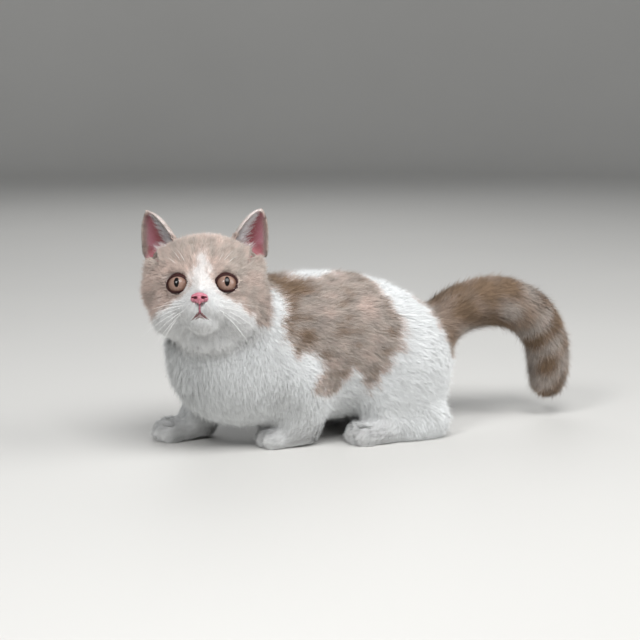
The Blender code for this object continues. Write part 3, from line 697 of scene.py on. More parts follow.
# Hairs beside the groove under the ear are too short to close it
tip_local = to_head(tip)
over_groove = (groove_distance(tip_local) < 0.9) & (tip_local[:, 0] > -2) & (tip_local[:, 2] < 24)
kept = np.where(over_groove & (on_head > 0.3), OVER_GROOVE_KEPT, 1.0)[:, None]
middle = root + kept * (middle - root)
tip = root + kept * (tip - root)
roll = draw.normal(0, 0.45, BLADES)[:, None]
flat = unit(across + np.tan(roll.clip(-1, 1)) * root_normal)
width = root_share @ np.array([HAIR_WIDTH[name] for name in REGIONS])
width = (width * draw.normal(1, 0.15, BLADES).clip(0.6, 1.4) * np.where(guard, GUARD_WIDTH, 1))[:, None]
sunk = root - root_normal * np.minimum(ROOT_SINK, 0.5 * length)[:, None]
blade_points = np.stack([sunk, middle - flat * width * 0.50, middle + flat * width * 0.50, tip], 1)
blade_points[:, :, 2] = np.maximum(blade_points[:, :, 2], 0.15)
# Fine streaks run with the coat: out from the nose on the head, back on the body and down on the legs
from_muzzle = root_local - COAT_FROM
radius = np.linalg.norm(from_muzzle, axis=1, keepdims=True)
down_share = on_leg + part_of(root_share, "chest")
streaks = np.where(
    on_head > 0.5,
    ripple(from_muzzle / radius * 34 + 0.10 * radius, 1.7, 51),
    np.where(down_share > 0.5, ripple(root * (1, 1, 0.22), 1.5, 52), ripple(root * (0.22, 1, 1), 1.5, 53)),
)
blade_tint = 0.42 * draw.uniform(0, 1, BLADES)[lock] + 0.30 * draw.uniform(0, 1, BLADES)
blade_tint = (blade_tint + 0.14 + 0.13 * streaks).clip(0, 1)
# A hair's colour is that of the patch where it shows, most of the way to its tip, a little mixed at its edges
shown = root + 0.65 * (tip - root) + draw.normal(0, 1.1 - 0.4 * on_head[:, None], (BLADES, 3))
root_marking = markings_at(shown, at_roots(tail_share), at_roots(head_share))
root_marking += 0.05 * on_foot
face_way = unit(np.cross(flat, unit(tip - root)))
face_way *= np.sign((face_way * root_normal).sum(1, keepdims=True))
on_limb = (on_foot + on_leg)[:, None]
blade_normal = root_normal * (0.80 - 0.12 * on_limb) + face_way * (0.20 + 0.12 * on_limb)
blade_normal = unit(blade_normal + draw.normal(0, 0.05, (BLADES, 3)))

# Four points and two faces to a blade, pointed at root and tip, wound so that each looks away from the skin
BLADE_FACES = np.array(((0, 1, 2), (1, 3, 2)))
ALONG_BLADE = (0.0, 0.5, 0.5, 1.0)
PATCH = 0.003
PATCH_PLACE = np.array(((0.5, 0), (0, 0.5), (1, 0.5), (0.5, 1))) * PATCH
# Where the coat's pieces part: ahead of the head's middle, and along the body
FACE_FROM, CHEST_END, FORELEGS_END, RUMP_FROM = 9, -30, 10, 55

of_region = np.array(REGIONS)[root_share.argmax(1)]
is_head = np.isin(of_region, ["head", "ear"])
front = root_local[:, 0] > FACE_FROM
left_half = root_local[:, 1] > 0
is_body = np.isin(of_region, ["trunk", "chest"])
mid_body = root[:, 0] > CHEST_END
on_left = root[:, 1] < 0
is_rear = (of_region == "haunch") | (is_body & (root[:, 0] > RUMP_FROM))
is_limb = np.isin(of_region, ["paw", "leg"])
is_fore = root[:, 0] < FORELEGS_END
coat_parts = {
    "coat_face_left": is_head & front & left_half,
    "coat_face_right": is_head & front & ~left_half,
    "coat_crown_left": is_head & ~front & left_half,
    "coat_crown_right": is_head & ~front & ~left_half,
    "coat_chest": is_body & ~mid_body,
    "coat_back_left": is_body & mid_body & on_left & ~is_rear,
    "coat_back_right": is_body & mid_body & ~on_left & ~is_rear,
    "coat_haunch_left": is_rear & on_left,
    "coat_haunch_right": is_rear & ~on_left,
    "coat_forelegs": is_limb & is_fore,
    "coat_hindfeet": is_limb & ~is_fore,
    "coat_tail": of_region == "tail",
}
# A plain copy of the skin with a twentieth of its faces is unwrapped for each part of the coat
PROXY_SHARE = 0.05
ROOT_STEP = 20
proxy = add_object("proxy", skin.data.copy())
thin = proxy.modifiers.new("Thin", "DECIMATE")
thin.ratio = PROXY_SHARE
apply_modifiers(proxy)
proxy_mesh = proxy.data
proxy_middles = read(proxy_mesh.polygons, "center")
root_tree = search_tree(to_row(root[::ROOT_STEP]))
nearest_root = np.array([root_tree.find(place_of)[1] for place_of in proxy_middles]) * ROOT_STEP


def unwrapped(chosen):
    """The plain skin's faces under the chosen blades, unwrapped: a search tree, corners, and their places."""
    mesh = bmesh.new()
    mesh.from_mesh(proxy_mesh)
    mesh.faces.ensure_lookup_table()
    under = chosen[nearest_root]
    bmesh.ops.delete(mesh, geom=[f for f in mesh.faces if not under[f.index]], context="FACES")
    bmesh.ops.triangulate(mesh, faces=mesh.faces)
    part = bpy.data.meshes.new("under")
    mesh.to_mesh(part)
    mesh.free()
    piece = add_object("under", part)
    bpy.ops.object.select_all(action="DESELECT")
    piece.select_set(True)
    bpy.context.view_layer.objects.active = piece
    bpy.ops.object.mode_set(mode="EDIT")
    bpy.ops.mesh.select_all(action="SELECT")
    bpy.ops.uv.smart_project(angle_limit=math.radians(66), island_margin=0.01)
    bpy.ops.object.mode_set(mode="OBJECT")
    points = read(part.vertices, "co")
    faces = read(part.loops, "vertex_index", 1, np.int32).reshape(-1, 3)
    flat_places = read(part.uv_layers.active.data, "uv", 2).reshape(-1, 3, 2)
    bpy.data.objects.remove(piece)
    return BVHTree.FromPolygons(points.tolist(), faces.tolist()), points[faces], flat_places


def unwrap_places(chosen):
    """Where each chosen blade's root lies on the unwrapped skin."""
    tree, face_points, flat_places = unwrapped(chosen)
    found = [tree.find_nearest(place_of) for place_of in to_row(root[chosen])]
    at = np.array([hit[0] for hit in found])
    face = np.array([hit[2] for hit in found])
    p, q, r = face_points[face].transpose(1, 0, 2)
    one, two, three = q - p, r - p, at - p
    a, b, c = (one * one).sum(1), (one * two).sum(1), (two * two).sum(1)
    d, e = (three * one).sum(1), (three * two).sum(1)
    whole = np.maximum(a * c - b * b, 1e-18)
    v, w = (c * d - b * e) / whole, (a * e - b * d) / whole
    shares = np.clip(np.stack([1 - v - w, v, w], 1), 0, 1)
    shares /= shares.sum(1, keepdims=True)
    return (flat_places[face] * shares[:, :, None]).sum(1)


# Kitten fur, soft and matt. Every hair is painted darker towards its root, as shade of the hairs over it: a
# white one a little, a coloured one more. A coloured one is lilac-brown, palest at its tip, with darker and
# lighter hairs among its neighbours.
fur_material, tree, shader = new_material("kitten_fur")
marking_value, fur_ground = coat_ground(tree)
painted_root_shade = add_node(tree, "ShaderNodeAttribute", attribute_name="along")
varied = add_node(tree, "ShaderNodeAttribute", attribute_name="tint")
coloured = add_node(tree, "ShaderNodeMapRange", {"Value": marking_value, "From Max": 0.5})
shades = []
# The first row varies each hair's tone. The second paints shade towards the root and lightens the tip
for feed, white_low, colour_low, colour_high in (
    (varied.outputs["Fac"], 0.79, 0.64, 1.34),
    (painted_root_shade.outputs["Fac"], 0.92, 0.84, 1.16),
):
    in_white = add_node(tree, "ShaderNodeMapRange", {"Value": feed, "To Min": white_low, "To Max": 1.03})
    in_colour = add_node(
        tree, "ShaderNodeMapRange", {"Value": feed, "To Min": colour_low, "To Max": colour_high}
    )
    shades.append(
        add_node(
            tree,
            "ShaderNodeMix",
            {0: coloured.outputs["Result"], 2: in_white.outputs["Result"], 3: in_colour.outputs["Result"]},
        )
    )
shade = add_node(
    tree, "ShaderNodeMath", {0: shades[0].outputs[0], 1: shades[1].outputs[0]}, operation="MULTIPLY"
)
fur_colour = add_node(
    tree,
    "ShaderNodeVectorMath",
    {0: fur_ground, "Scale": shade.outputs["Value"]},
    operation="SCALE",
)
tree.links.new(fur_colour.outputs["Vector"], shader.inputs["Base Color"])
shader.inputs["Roughness"].default_value = 0.68
shader.inputs["Specular IOR Level"].default_value = 0.25
shader.inputs["Sheen Weight"].default_value = 0.15
shader.inputs["Sheen Roughness"].default_value = 0.5

for name, chosen in coat_parts.items():
    blades = int(chosen.sum())
    points = to_row(blade_points[chosen].reshape(-1, 3))
    faces = (np.arange(blades)[:, None, None] * 4 + BLADE_FACES[None]).reshape(-1, 3)
    coat_mesh = bpy.data.meshes.new(name)
    coat_mesh.vertices.add(len(points))
    coat_mesh.vertices.foreach_set("co", points.ravel())
    coat_mesh.loops.add(faces.size)
    coat_mesh.loops.foreach_set("vertex_index", faces.ravel().astype(np.int32))
    coat_mesh.polygons.add(len(faces))
    coat_mesh.polygons.foreach_set("loop_start", np.arange(0, faces.size, 3, dtype=np.int32))
    shade_smooth(coat_mesh)
    coat_mesh.update()
    keep_values(coat_mesh, "marking", np.repeat(root_marking[chosen], 4))
    # How far along its blade each point lies, which the material turns into painted shade at the root
    keep_values(coat_mesh, "along", np.tile(ALONG_BLADE, blades))
    keep_values(coat_mesh, "tint", np.repeat(blade_tint[chosen], 4))
    patches = unwrap_places(chosen)[:, None] + PATCH_PLACE[None]
    layer = coat_mesh.uv_layers.new(name="OFBake")
    on_loops = np.clip(patches.reshape(-1, 2)[faces.ravel()], 0, 1)
    layer.data.foreach_set("uv", on_loops.ravel().astype(np.float32))
    coat_mesh.normals_split_custom_set_from_vertices(np.repeat(blade_normal[chosen], 4, axis=0))
    coat_mesh.materials.append(fur_material)
    coat = add_object(name, coat_mesh)
    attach(coat, "root")
    print(name, len(faces), "triangles")
bpy.data.objects.remove(proxy)


# Eyes. A round globe with a low bulge for the cornea, set deep behind the lids. The iris is a kitten's
# pinkish brown with a dark outer ring and an upright oval pupil, and the whole is wet, which the clear coat
# gives.
EYE_RADIUS = 8.6
EYE_OUTWARD = 9.0
EYE_UPWARD = 2.0
IRIS_RADIUS = 6.1
PUPIL = (1.62, 3.2)
CORNEA_RISE = 0.9


def eye_axes(turn):
    """The axes of one eye, ahead, left and up as rows. turn is 1 for the cat's left eye."""
    swing, rise = math.radians(EYE_OUTWARD * turn), math.radians(EYE_UPWARD)
    ahead = np.array((math.cos(swing) * math.cos(rise), math.sin(swing) * math.cos(rise), math.sin(rise)))
    left = np.array((-math.sin(swing), math.cos(swing), 0))
    up = np.cross(ahead, left)
    return np.array((ahead, left, up)) @ head_axes


def from_eye(turn, points):
    """Points in one eye's own axes, in the body's axes."""
    ahead, left, up = EYE_PLACE["left"]
    return np.asarray(points, float) @ eye_axes(turn) + from_head((ahead, left * turn, up))


eye_material, tree, shader = new_material("wet_eye")
place = add_node(tree, "ShaderNodeUVMap", uv_map="iris_place")
centred = add_node(tree, "ShaderNodeMapping", {"Vector": place.outputs["UV"], "Location": (-0.5, -0.5, 0)})
# The map holds a square of 20 mm round the pupil, so 0.05 of it is a millimetre
in_mm = add_node(
    tree, "ShaderNodeVectorMath", {0: centred.outputs["Vector"], 1: (20.0, 20.0, 0.0)}, operation="MULTIPLY"
)
out_from_pupil = add_node(tree, "ShaderNodeVectorMath", {0: in_mm.outputs["Vector"]}, operation="LENGTH")
parts = add_node(tree, "ShaderNodeSeparateXYZ", {"Vector": in_mm.outputs["Vector"]})
angle = add_node(
    tree, "ShaderNodeMath", {0: parts.outputs["Y"], 1: parts.outputs["X"]}, operation="ARCTAN2"
)
ray_place = add_node(
    tree,
    "ShaderNodeCombineXYZ",
    {"X": angle.outputs["Value"], "Y": out_from_pupil.outputs["Value"]},
)
ray_stretch = add_node(
    tree, "ShaderNodeVectorMath", {0: ray_place.outputs["Vector"], 1: (6.5, 0.35, 0.0)}, operation="MULTIPLY"
)
rays = add_node(
    tree, "ShaderNodeTexNoise", {"Vector": ray_stretch.outputs["Vector"], "Scale": 1.6, "Detail": 4.0}
)
iris_near = add_node(
    tree,
    "ShaderNodeMix",
    {0: rays.outputs["Fac"], 6: colour("#6A5149"), 7: colour("#A68A7C")},
    data_type="RGBA",
)
# Outwards it darkens, ends in a dark ring and gives way to the white of the eye
eye_ground = iris_near.outputs[2]
for begins, ends, code in ((3.2, IRIS_RADIUS, "#6A4C3E"), (5.2, 6.2, "#2A1A17"), (6.5, 7.2, "#B9A59C")):
    outwards = add_node(
        tree,
        "ShaderNodeMapRange",
        {"Value": out_from_pupil.outputs["Value"], "From Min": begins, "From Max": ends},
        interpolation_type="SMOOTHSTEP",
    )
    ringed = add_node(
        tree,
        "ShaderNodeMix",
        {0: outwards.outputs["Result"], 6: eye_ground, 7: colour(code)},
        data_type="RGBA",
    )
    eye_ground = ringed.outputs[2]
pupil_scale = add_node(
    tree,
    "ShaderNodeVectorMath",
    {0: in_mm.outputs["Vector"], 1: (1 / PUPIL[0], 1 / PUPIL[1], 0.0)},
    operation="MULTIPLY",
)
in_pupil = add_node(tree, "ShaderNodeVectorMath", {0: pupil_scale.outputs["Vector"]}, operation="LENGTH")
pupil_edge = add_node(
    tree,
    "ShaderNodeMapRange",
    {"Value": in_pupil.outputs["Value"], "From Min": 0.88, "From Max": 1.08},
    interpolation_type="SMOOTHSTEP",
)
eye_colour = add_node(
    tree,
    "ShaderNodeMix",
    {0: pupil_edge.outputs["Result"], 6: colour("#0B0808"), 7: eye_ground},
    data_type="RGBA",
)
tree.links.new(eye_colour.outputs[2], shader.inputs["Base Color"])
shader.inputs["Roughness"].default_value = 0.5
shader.inputs["Specular IOR Level"].default_value = 0.05
shader.inputs["Coat Weight"].default_value = 0.8
shader.inputs["Coat Roughness"].default_value = 0.03
shader.inputs["Coat IOR"].default_value = 1.38

for name, turn in (("left", 1), ("right", -1)):
    bpy.ops.object.select_all(action="DESELECT")
    bpy.ops.mesh.primitive_uv_sphere_add(segments=72, ring_count=54, radius=EYE_RADIUS)
    eye = bpy.context.object
    eye.name = f"eyeball_{name}"
    # The poles lie on the line of sight, so the rings of the mesh are rings round the pupil
    globe = read(eye.data.vertices, "co")[:, (2, 0, 1)]
    aside = np.linalg.norm(globe[:, 1:], axis=1)
    rise = CORNEA_RISE * np.clip(1 - (aside / IRIS_RADIUS) ** 2, 0, 1) * (globe[:, 0] > 0)
    globe *= 1 + (rise / EYE_RADIUS)[:, None]
    eye.data.vertices.foreach_set("co", to_row(from_eye(turn, globe)).ravel())
    mapped = eye.data.uv_layers.new(name="iris_place")
    corner_of = read(eye.data.loops, "vertex_index", 1, np.int32)[:, 0]
    on_face = np.stack([-globe[:, 1], globe[:, 2]], 1) / 20 + 0.5
    behind_eye = (globe[:, 0] < 0)[:, None]
    on_face = np.where(behind_eye, (0.98, 0.5), on_face)
    mapped.data.foreach_set("uv", on_face[corner_of].ravel())
    eye.data.uv_layers.active = mapped
    bpy.ops.object.mode_set(mode="EDIT")
    bpy.ops.mesh.select_all(action="SELECT")
    bpy.ops.mesh.normals_make_consistent(inside=False)
    bpy.ops.object.mode_set(mode="OBJECT")
    bpy.ops.object.shade_smooth()
    eye.data.materials.append(eye_material)
    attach(eye, "root")
    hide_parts(f"eye_{name}")


# Lid margins. The dark, moist, hairless edge of both lids, a band on the eyeball that is broad above and thin
# below, and drawn down to a point at the corner beside the nose. Above, part of its breadth is painted shade
# that the upper lid casts on the eye.
LID_OPEN = (6.2, 4.6)
LID_OPEN_DROP = -0.65
LID_OUTER = (7.9, 6.9)
LID_OUTER_RISE = 0.55
LID_SWELL = 0.7
LID_SIDES = 12
LID_STEPS = 72


def mottled_material(name, size, shades, roughness, detail=2.0):
    """A material whose colour wanders between two shades, in blobs about size millimetres across."""
    made, tree, shader = new_material(name)
    place = add_node(tree, "ShaderNodeTexCoord")
    mottle = add_node(
        tree,
        "ShaderNodeTexNoise",
        {"Vector": place.outputs["Object"], "Scale": 1000 / size, "Detail": detail},
    )
    mixed = add_node(
        tree,
        "ShaderNodeMix",
        {0: mottle.outputs["Fac"], 6: colour(shades[0]), 7: colour(shades[1])},
        data_type="RGBA",
    )
    tree.links.new(mixed.outputs[2], shader.inputs["Base Color"])
    shader.inputs["Roughness"].default_value = roughness
    return made


def finish_piece(name, mesh, material):
    """Turns a bmesh into a smooth piece of the object that rides on the body."""
    data = bpy.data.meshes.new(name)
    bmesh.ops.recalc_face_normals(mesh, faces=mesh.faces)
    mesh.to_mesh(data)
    mesh.free()
    shade_smooth(data)
    data.materials.append(material)
    piece = add_object(name, data)
    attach(piece, "root")
    return piece


# Moist, nearly black-brown skin of the lids' edges, and painted shade of the upper lid on the eye
lid_and_shade_material = mottled_material("lid_margin_skin", 1.6, ("#1E0A0A", "#3E1C1B"), 0.5, 3.0)
lid_and_shade_material.node_tree.nodes["Principled BSDF"].inputs["Specular IOR Level"].default_value = 0.2

for name, turn in (("left", 1), ("right", -1)):
    mesh = bmesh.new()
    rows = []
    for i in range(LID_STEPS):
        a = 2 * math.pi * i / LID_STEPS
        corner = max(0.0, math.cos(a)) ** 6
        aside = -turn * (math.cos(a) + 0.10 * corner)
        up = math.sin(a) - 0.28 * corner
        row = []
        for j in range(LID_SIDES):
            b = 2 * math.pi * j / LID_SIDES
            share_out = 0.5 + 0.5 * math.cos(b)
            wide = LID_OPEN[0] + (LID_OUTER[0] - LID_OPEN[0]) * share_out
            high = LID_OPEN[1] + (LID_OUTER[1] - LID_OPEN[1]) * share_out
            y, z = aside * wide, up * high + LID_OPEN_DROP * (1 - share_out) + LID_OUTER_RISE * share_out
            ball = EYE_RADIUS + CORNEA_RISE * max(0.0, 1 - (y * y + z * z) / IRIS_RADIUS**2)
            ahead = math.sqrt(max(1.0, ball * ball - y * y - z * z))
            row.append((ahead + 0.35 + LID_SWELL * math.sin(b), y, z))
        rows.append([mesh.verts.new(p) for p in to_row(from_eye(turn, row))])
    for i in range(LID_STEPS):
        for j in range(LID_SIDES):
            n, m = (i + 1) % LID_STEPS, (j + 1) % LID_SIDES
            mesh.faces.new((rows[i][j], rows[n][j], rows[n][m], rows[i][m]))
    finish_piece(f"lid_margin_{name}", mesh, lid_and_shade_material)


# Nose leather. Bare pink skin with a fine pebbled grain, a soft triangle with two comma-shaped nostrils and a
# groove that runs down into the lip. It is fused from rounded masses, those off the middle on both sides, and
# stands where the solid's nose does.
nose_points = read(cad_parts["nose"].data.vertices, "co") / MM - start
NOSE_AHEAD = to_head(nose_points)[:, 0].max() - 1.6
nose_aside = -MUZZLE_SWING * (NOSE_AHEAD - MUZZLE_FROM)
NOSE_MASSES = (
    ((-1.5, 0, -18.2), (3.0, 4.0, 2.3)),
    ((-1.7, 2.5, -18.8), (2.8, 2.6, 2.1)),
    ((-2.2, 3.7, -19.8), (2.4, 1.7, 1.7)),
    ((-1.1, 0, -19.9), (2.6, 1.9, 2.2)),
    ((-1.9, 1.5, -20.8), (2.2, 1.4, 1.35)),
    ((-1.8, 0, -21.5), (2.3, 1.05, 1.8)),
)
NOSTRIL_CUTS = (
    ((0.9, 2.25, -19.7), (2.2, 1.15, 0.82), 0),
    ((0.2, 3.60, -19.4), (2.1, 1.20, 0.34), -12),
)


def rounded(place_of, radii, roll=0.0):
    """An ellipsoid in the head's axes, turned by roll degrees about the line ahead."""
    bpy.ops.object.select_all(action="DESELECT")
    bpy.ops.mesh.primitive_ico_sphere_add(subdivisions=4, radius=1.0)
    piece = bpy.context.object
    shape = read(piece.data.vertices, "co") * radii
    c, s = math.cos(math.radians(roll)), math.sin(math.radians(roll))
    shape = shape @ np.array(((1, 0, 0), (0, c, s), (0, -s, c))) + place_of
    piece.data.vertices.foreach_set("co", to_row(from_head(shape)).ravel())
    piece.data.update()
    return piece


def remeshed(piece, voxel, rounds):
    """Gives a piece an even mesh in cells of so many millimetres, smoothed so many times."""
    grid = piece.modifiers.new("Fuse", "REMESH")
    grid.mode = "VOXEL"
    grid.voxel_size = voxel * MM
    soft = piece.modifiers.new("Soften", "SMOOTH")
    soft.iterations = rounds
    apply_modifiers(piece)


def fused(pieces, voxel, rounds):
    """One closed smooth surface from pieces that overlap."""
    bpy.ops.object.select_all(action="DESELECT")
    for piece in pieces:
        piece.select_set(True)
    bpy.context.view_layer.objects.active = pieces[0]
    bpy.ops.object.join()
    remeshed(pieces[0], voxel, rounds)
    return pieces[0]


masses = []
for (x, y, z), radii in NOSE_MASSES:
    for turn in (1, -1) if y else (1,):
        masses.append(rounded((x + NOSE_AHEAD, y * turn + nose_aside, z), radii))
nose = fused(masses, 0.22, 8)
nose.name = "nose_leather"
for (x, y, z), radii, roll in NOSTRIL_CUTS:
    for turn in (1, -1):
        cutter = rounded((x + NOSE_AHEAD, y * turn + nose_aside, z), radii, roll * turn)
        nostril = nose.modifiers.new("Nostril", "BOOLEAN")
        nostril.operation = "DIFFERENCE"
        nostril.object = cutter
        nostril.solver = "EXACT"
        apply_modifiers(nose)
        bpy.data.objects.remove(cutter)
remeshed(nose, 0.18, 5)

# Each nostril is painted dark inside, as shade in its hole over deep red skin, by how near a point is to the
# middle of its cuts
nose_local = to_head(read(nose.data.vertices, "co") / MM - start) - (NOSE_AHEAD, nose_aside, 0)
nose_local[:, 1] = np.abs(nose_local[:, 1])
painted_nostril_shade = np.zeros(len(nose_local))
for cut_place, cut_radii, _ in NOSTRIL_CUTS:
    from_cut = np.linalg.norm((nose_local - cut_place) / cut_radii, axis=1)
    painted_nostril_shade = np.maximum(painted_nostril_shade, 1 - ease(0.75, 1.35, from_cut))
keep_values(nose.data, "nostril", painted_nostril_shade)

nose_material, tree, shader = new_material("nose_leather")
place = add_node(tree, "ShaderNodeTexCoord")
flush = add_node(
    tree, "ShaderNodeTexNoise", {"Vector": place.outputs["Object"], "Scale": 1000 / 4.5, "Detail": 3.0}
)
pink = add_node(
    tree,
    "ShaderNodeMix",
    {0: flush.outputs["Fac"], 6: colour("#A8566A"), 7: colour("#CC8A96")},
    data_type="RGBA",
)
nostril_shade_mask = add_node(tree, "ShaderNodeAttribute", attribute_name="nostril")
# Inside the nostrils the pink gives way to deep red darkened with painted shade
leather = add_node(
    tree,
    "ShaderNodeMix",
    {0: nostril_shade_mask.outputs["Fac"], 6: pink.outputs[2], 7: colour("#560E1C")},
    data_type="RGBA",
)
pebbles = add_node(tree, "ShaderNodeTexVoronoi", {"Vector": place.outputs["Object"], "Scale": 1000 / 0.55})
grain = add_node(
    tree, "ShaderNodeBump", {"Height": pebbles.outputs["Distance"], "Strength": 0.35, "Distance": 0.0002}
)
tree.links.new(leather.outputs[2], shader.inputs["Base Color"])
tree.links.new(grain.outputs["Normal"], shader.inputs["Normal"])
shader.inputs["Roughness"].default_value = 0.42
shader.inputs["Subsurface Weight"].default_value = 0.15
shader.inputs["Subsurface Radius"].default_value = (0.002, 0.0008, 0.0005)
nose.data.materials.clear()
nose.data.materials.append(nose_material)
shade_smooth(nose.data)
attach(nose, "root")
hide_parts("nose")

# Mouth. A line of dark skin where the lips meet runs out to both corners from the foot of the groove, which
# is bare and dark pink and comes down from the nose. Under it the lower lip shows a little.
GROOVE = ((0, -22.0), (0, -23.6), (0, -25.2), (0, -26.4), (0, -27.5))
GROOVE_THICK = (0.9, 0.75, 0.70, 0.80, 0.95)
MOUTH = ((0, -27.0), (1.2, -28.0), (2.6, -29.3), (4.2, -30.5), (5.9, -31.1))
MOUTH_THICK = (0.90, 0.90, 0.78, 0.55, 0.22)
LOWER_LIP = ((-2.8, -31.2), (-1.4, -29.8), (0, -29.2), (1.4, -29.8), (2.8, -31.2))
LOWER_LIP_THICK = (0.3, 0.85, 1.05, 0.85, 0.3)
skin_tree = BVHTree.FromPolygons(spots.tolist(), corners.tolist())


def on_face(aside, up):
    """The place on the face's skin that lies straight behind a point ahead of it, in the head's axes."""
    begin = Vector(from_head((70, aside, up)))
    hit = skin_tree.ray_cast(begin, Vector(-head_axes[0]))[0]
    return to_head(np.array(hit))


def strand(mesh, points, radii, sides):
    """A tapered closed tube through points in the body's axes, in the bmesh."""
    points = np.asarray(points, float)
    way = unit(np.gradient(points, axis=0))
    first = np.cross(way[0], (0.3, 0.5, 0.8))
    rings = []
    for spot, heading, radius in zip(points, way, radii):
        first = first - first @ heading * heading
        first = first / np.linalg.norm(first)
        second = np.cross(heading, first)
        turns = [2 * math.pi * k / sides for k in range(sides)]
        ring = [spot + radius * (math.cos(t) * first + math.sin(t) * second) for t in turns]
        rings.append([mesh.verts.new(p) for p in to_row(ring)])
    for lower, upper in zip(rings, rings[1:]):
        for k in range(sides):
            n = (k + 1) % sides
            mesh.faces.new((lower[k], lower[n], upper[n], upper[k]))
    mesh.faces.new(rings[0][::-1])
    mesh.faces.new(rings[-1])


def smooth_through(points, steps):
    """A smooth row of points through a few given ones."""
    points = np.asarray(points, float)
    ends = np.concatenate([[2 * points[0] - points[1]], points, [2 * points[-1] - points[-2]]])
    made = []
    for p, q, r, s in zip(ends, ends[1:], ends[2:], ends[3:]):
        for t in np.arange(steps) / steps:
            bent = (2 * p - 5 * q + 4 * r - s) * t**2 + (3 * q - p - 3 * r + s) * t**3
            made.append(0.5 * (2 * q + (r - p) * t + bent))
    made.append(points[-1])
    return np.array(made)


# Brown skin of the lips, dark pink skin of the groove, and greyish down on the lower lip, painted darker with
# the shade under the mouth
lip_material = mottled_material("lip_skin", 2.0, ("#4A2B2D", "#77504F"), 0.45)
groove_material = mottled_material("groove_skin", 1.5, ("#6A2636", "#A2586C"), 0.5)
lower_lip_and_shade_material = mottled_material("lower_lip_down_and_shade", 0.7, ("#6B5856", "#978582"), 0.7)
for name, line, thickness, turns, steps, ahead, material in (
    ("mouth_line", MOUTH, MOUTH_THICK, (1, -1), 5, 0.2, lip_material),
    ("lip_groove", GROOVE, GROOVE_THICK, (1,), 4, 0.25, groove_material),
    ("lower_lip", LOWER_LIP, LOWER_LIP_THICK, (1,), 5, 0.1, lower_lip_and_shade_material),
):
    mesh = bmesh.new()
    for turn in turns:
        row = smooth_through(line, steps)
        face_row = [on_face(aside * turn + nose_aside, up) + (ahead, 0, 0) for aside, up in row]
        stations = np.linspace(0, len(thickness) - 1, len(row))
        strand(mesh, from_head(face_row), np.interp(stations, range(len(thickness)), thickness), 8)
    finish_piece(name, mesh, material)


# Whiskers. Stiff white hairs, thick at the root and drawn out to nothing, in rows on both pads of the lip,
# with a few shorter ones over each eye. A row gives a root's place aside and up, the length, and how far the
# hair is raised in degrees.
WHISKER_ROWS = (
    ((9.0, -20.5), 17, 14),
    ((11.5, -21.0), 20, 4),
    ((14.0, -21.6), 21, -6),
    ((9.4, -22.8), 20, -8),
    ((12.0, -23.4), 24, -16),
    ((14.6, -24.2), 24, -26),
    ((9.8, -25.2), 20, -30),
    ((12.4, -26.2), 22, -40),
    ((15.0, -27.2), 20, -48),
)
BROW_ROWS = (((9.5, 4.5), 12, 66), ((12.0, 5.2), 14, 56), ((14.5, 4.8), 12, 46))
WHISKER_THICK = 0.125

# White horn of the whiskers
whisker_material = mottled_material("whisker_keratin", 6, ("#F2F1EE", "#FFFFFF"), 0.3)
draw = np.random.default_rng(70)
mesh = bmesh.new()
for rows, forward, droop in ((WHISKER_ROWS, 0.05, 4.0), (BROW_ROWS, 0.45, 2.0)):
    for (aside, up), long, raised in rows:
        for turn in (1, -1):
            at = on_face(aside * turn, up) - (0.5, 0, 0)
            tilt = math.radians(raised + draw.normal(0, 4))
            out = np.array((forward + draw.normal(0, 0.06), turn * math.cos(tilt), math.sin(tilt)))
            out /= np.linalg.norm(out)
            long_here = long * draw.normal(1, 0.07)
            shares = np.linspace(0, 1, 12)
            line = at + out * (shares * long_here)[:, None]
            line[:, 2] -= droop * shares**2
            line[:, 0] -= 0.22 * long_here * shares**2
            strand(mesh, from_head(line), WHISKER_THICK * (1 - 0.93 * shares**1.2), 5)
finish_piece("whiskers", mesh, whisker_material)


# Hair in the ears. Long, fine and nearly white, it roots along the inner edge of the cup and sweeps outwards
# over the pink skin.
EAR_ROOT = (0.0, 27.0, 17.0)
EAR_TIP = (7.0, 36.7, 48.8)
EAR_HAIRS = 800
draw = np.random.default_rng(80)
ear_axis = np.array(EAR_TIP) - EAR_ROOT
EAR_LENGTH = np.linalg.norm(ear_axis)
mesh = bmesh.new()
for turn in (1, -1):
    flip = (1, turn, 1)
    axis = unit(ear_axis * flip)
    look = np.array(EAR_FACING) * flip
    sideways = unit(np.cross(axis, look)) * turn
    look = unit(look - look @ axis * axis)
    for _ in range(EAR_HAIRS):
        rise = draw.uniform(0.10, 0.84)
        edge = draw.beta(1.1, 3.0) * min(1.0, 0.35 + 2.2 * rise)
        # From the inner edge, which lies on the side of the head's middle line, across the cup
        half_wide = 13.5 * (1 - rise**1.7) ** 0.75
        inner = -1 if sideways @ (0, turn, 0) > 0 else 1
        cup_place = np.array(EAR_ROOT) * flip + axis * rise * EAR_LENGTH
        cup_place = cup_place + sideways * inner * half_wide * (0.95 - 1.1 * edge)
        begin = Vector(from_head(cup_place + look * 14))
        hit = skin_tree.ray_cast(begin, Vector(-look @ head_axes))[0]
        if hit is None:
            continue
        at = to_head(np.array(hit))
        if abs((at - cup_place) @ look) > 12:
            continue
        long_here = draw.uniform(5, 12) * (1 - 0.45 * rise)
        outward, across_cup = draw.normal(0.75, 0.15), draw.normal(0.75, 0.18)
        heading = unit(axis * outward - sideways * inner * across_cup + look * 0.55)
        shares = np.linspace(0, 1, 5)
        line = at - look * 0.3 + heading * (shares * long_here)[:, None]
        line -= look * (3.2 * shares**2)[:, None] * long_here / 12
        strand(mesh, from_head(line), 0.12 * (1 - 0.9 * shares), 3)
# Fine greyish-white hair
hair_material = mottled_material("ear_hair", 3, ("#C9C3C4", "#EDEBEC"), 0.6)
finish_piece("ear_hairs", mesh, hair_material)


# Floor. Plain pale board, level under the feet and turned up far away on every side into a low wall.
FLOOR_MOTTLE = 1000 / 3
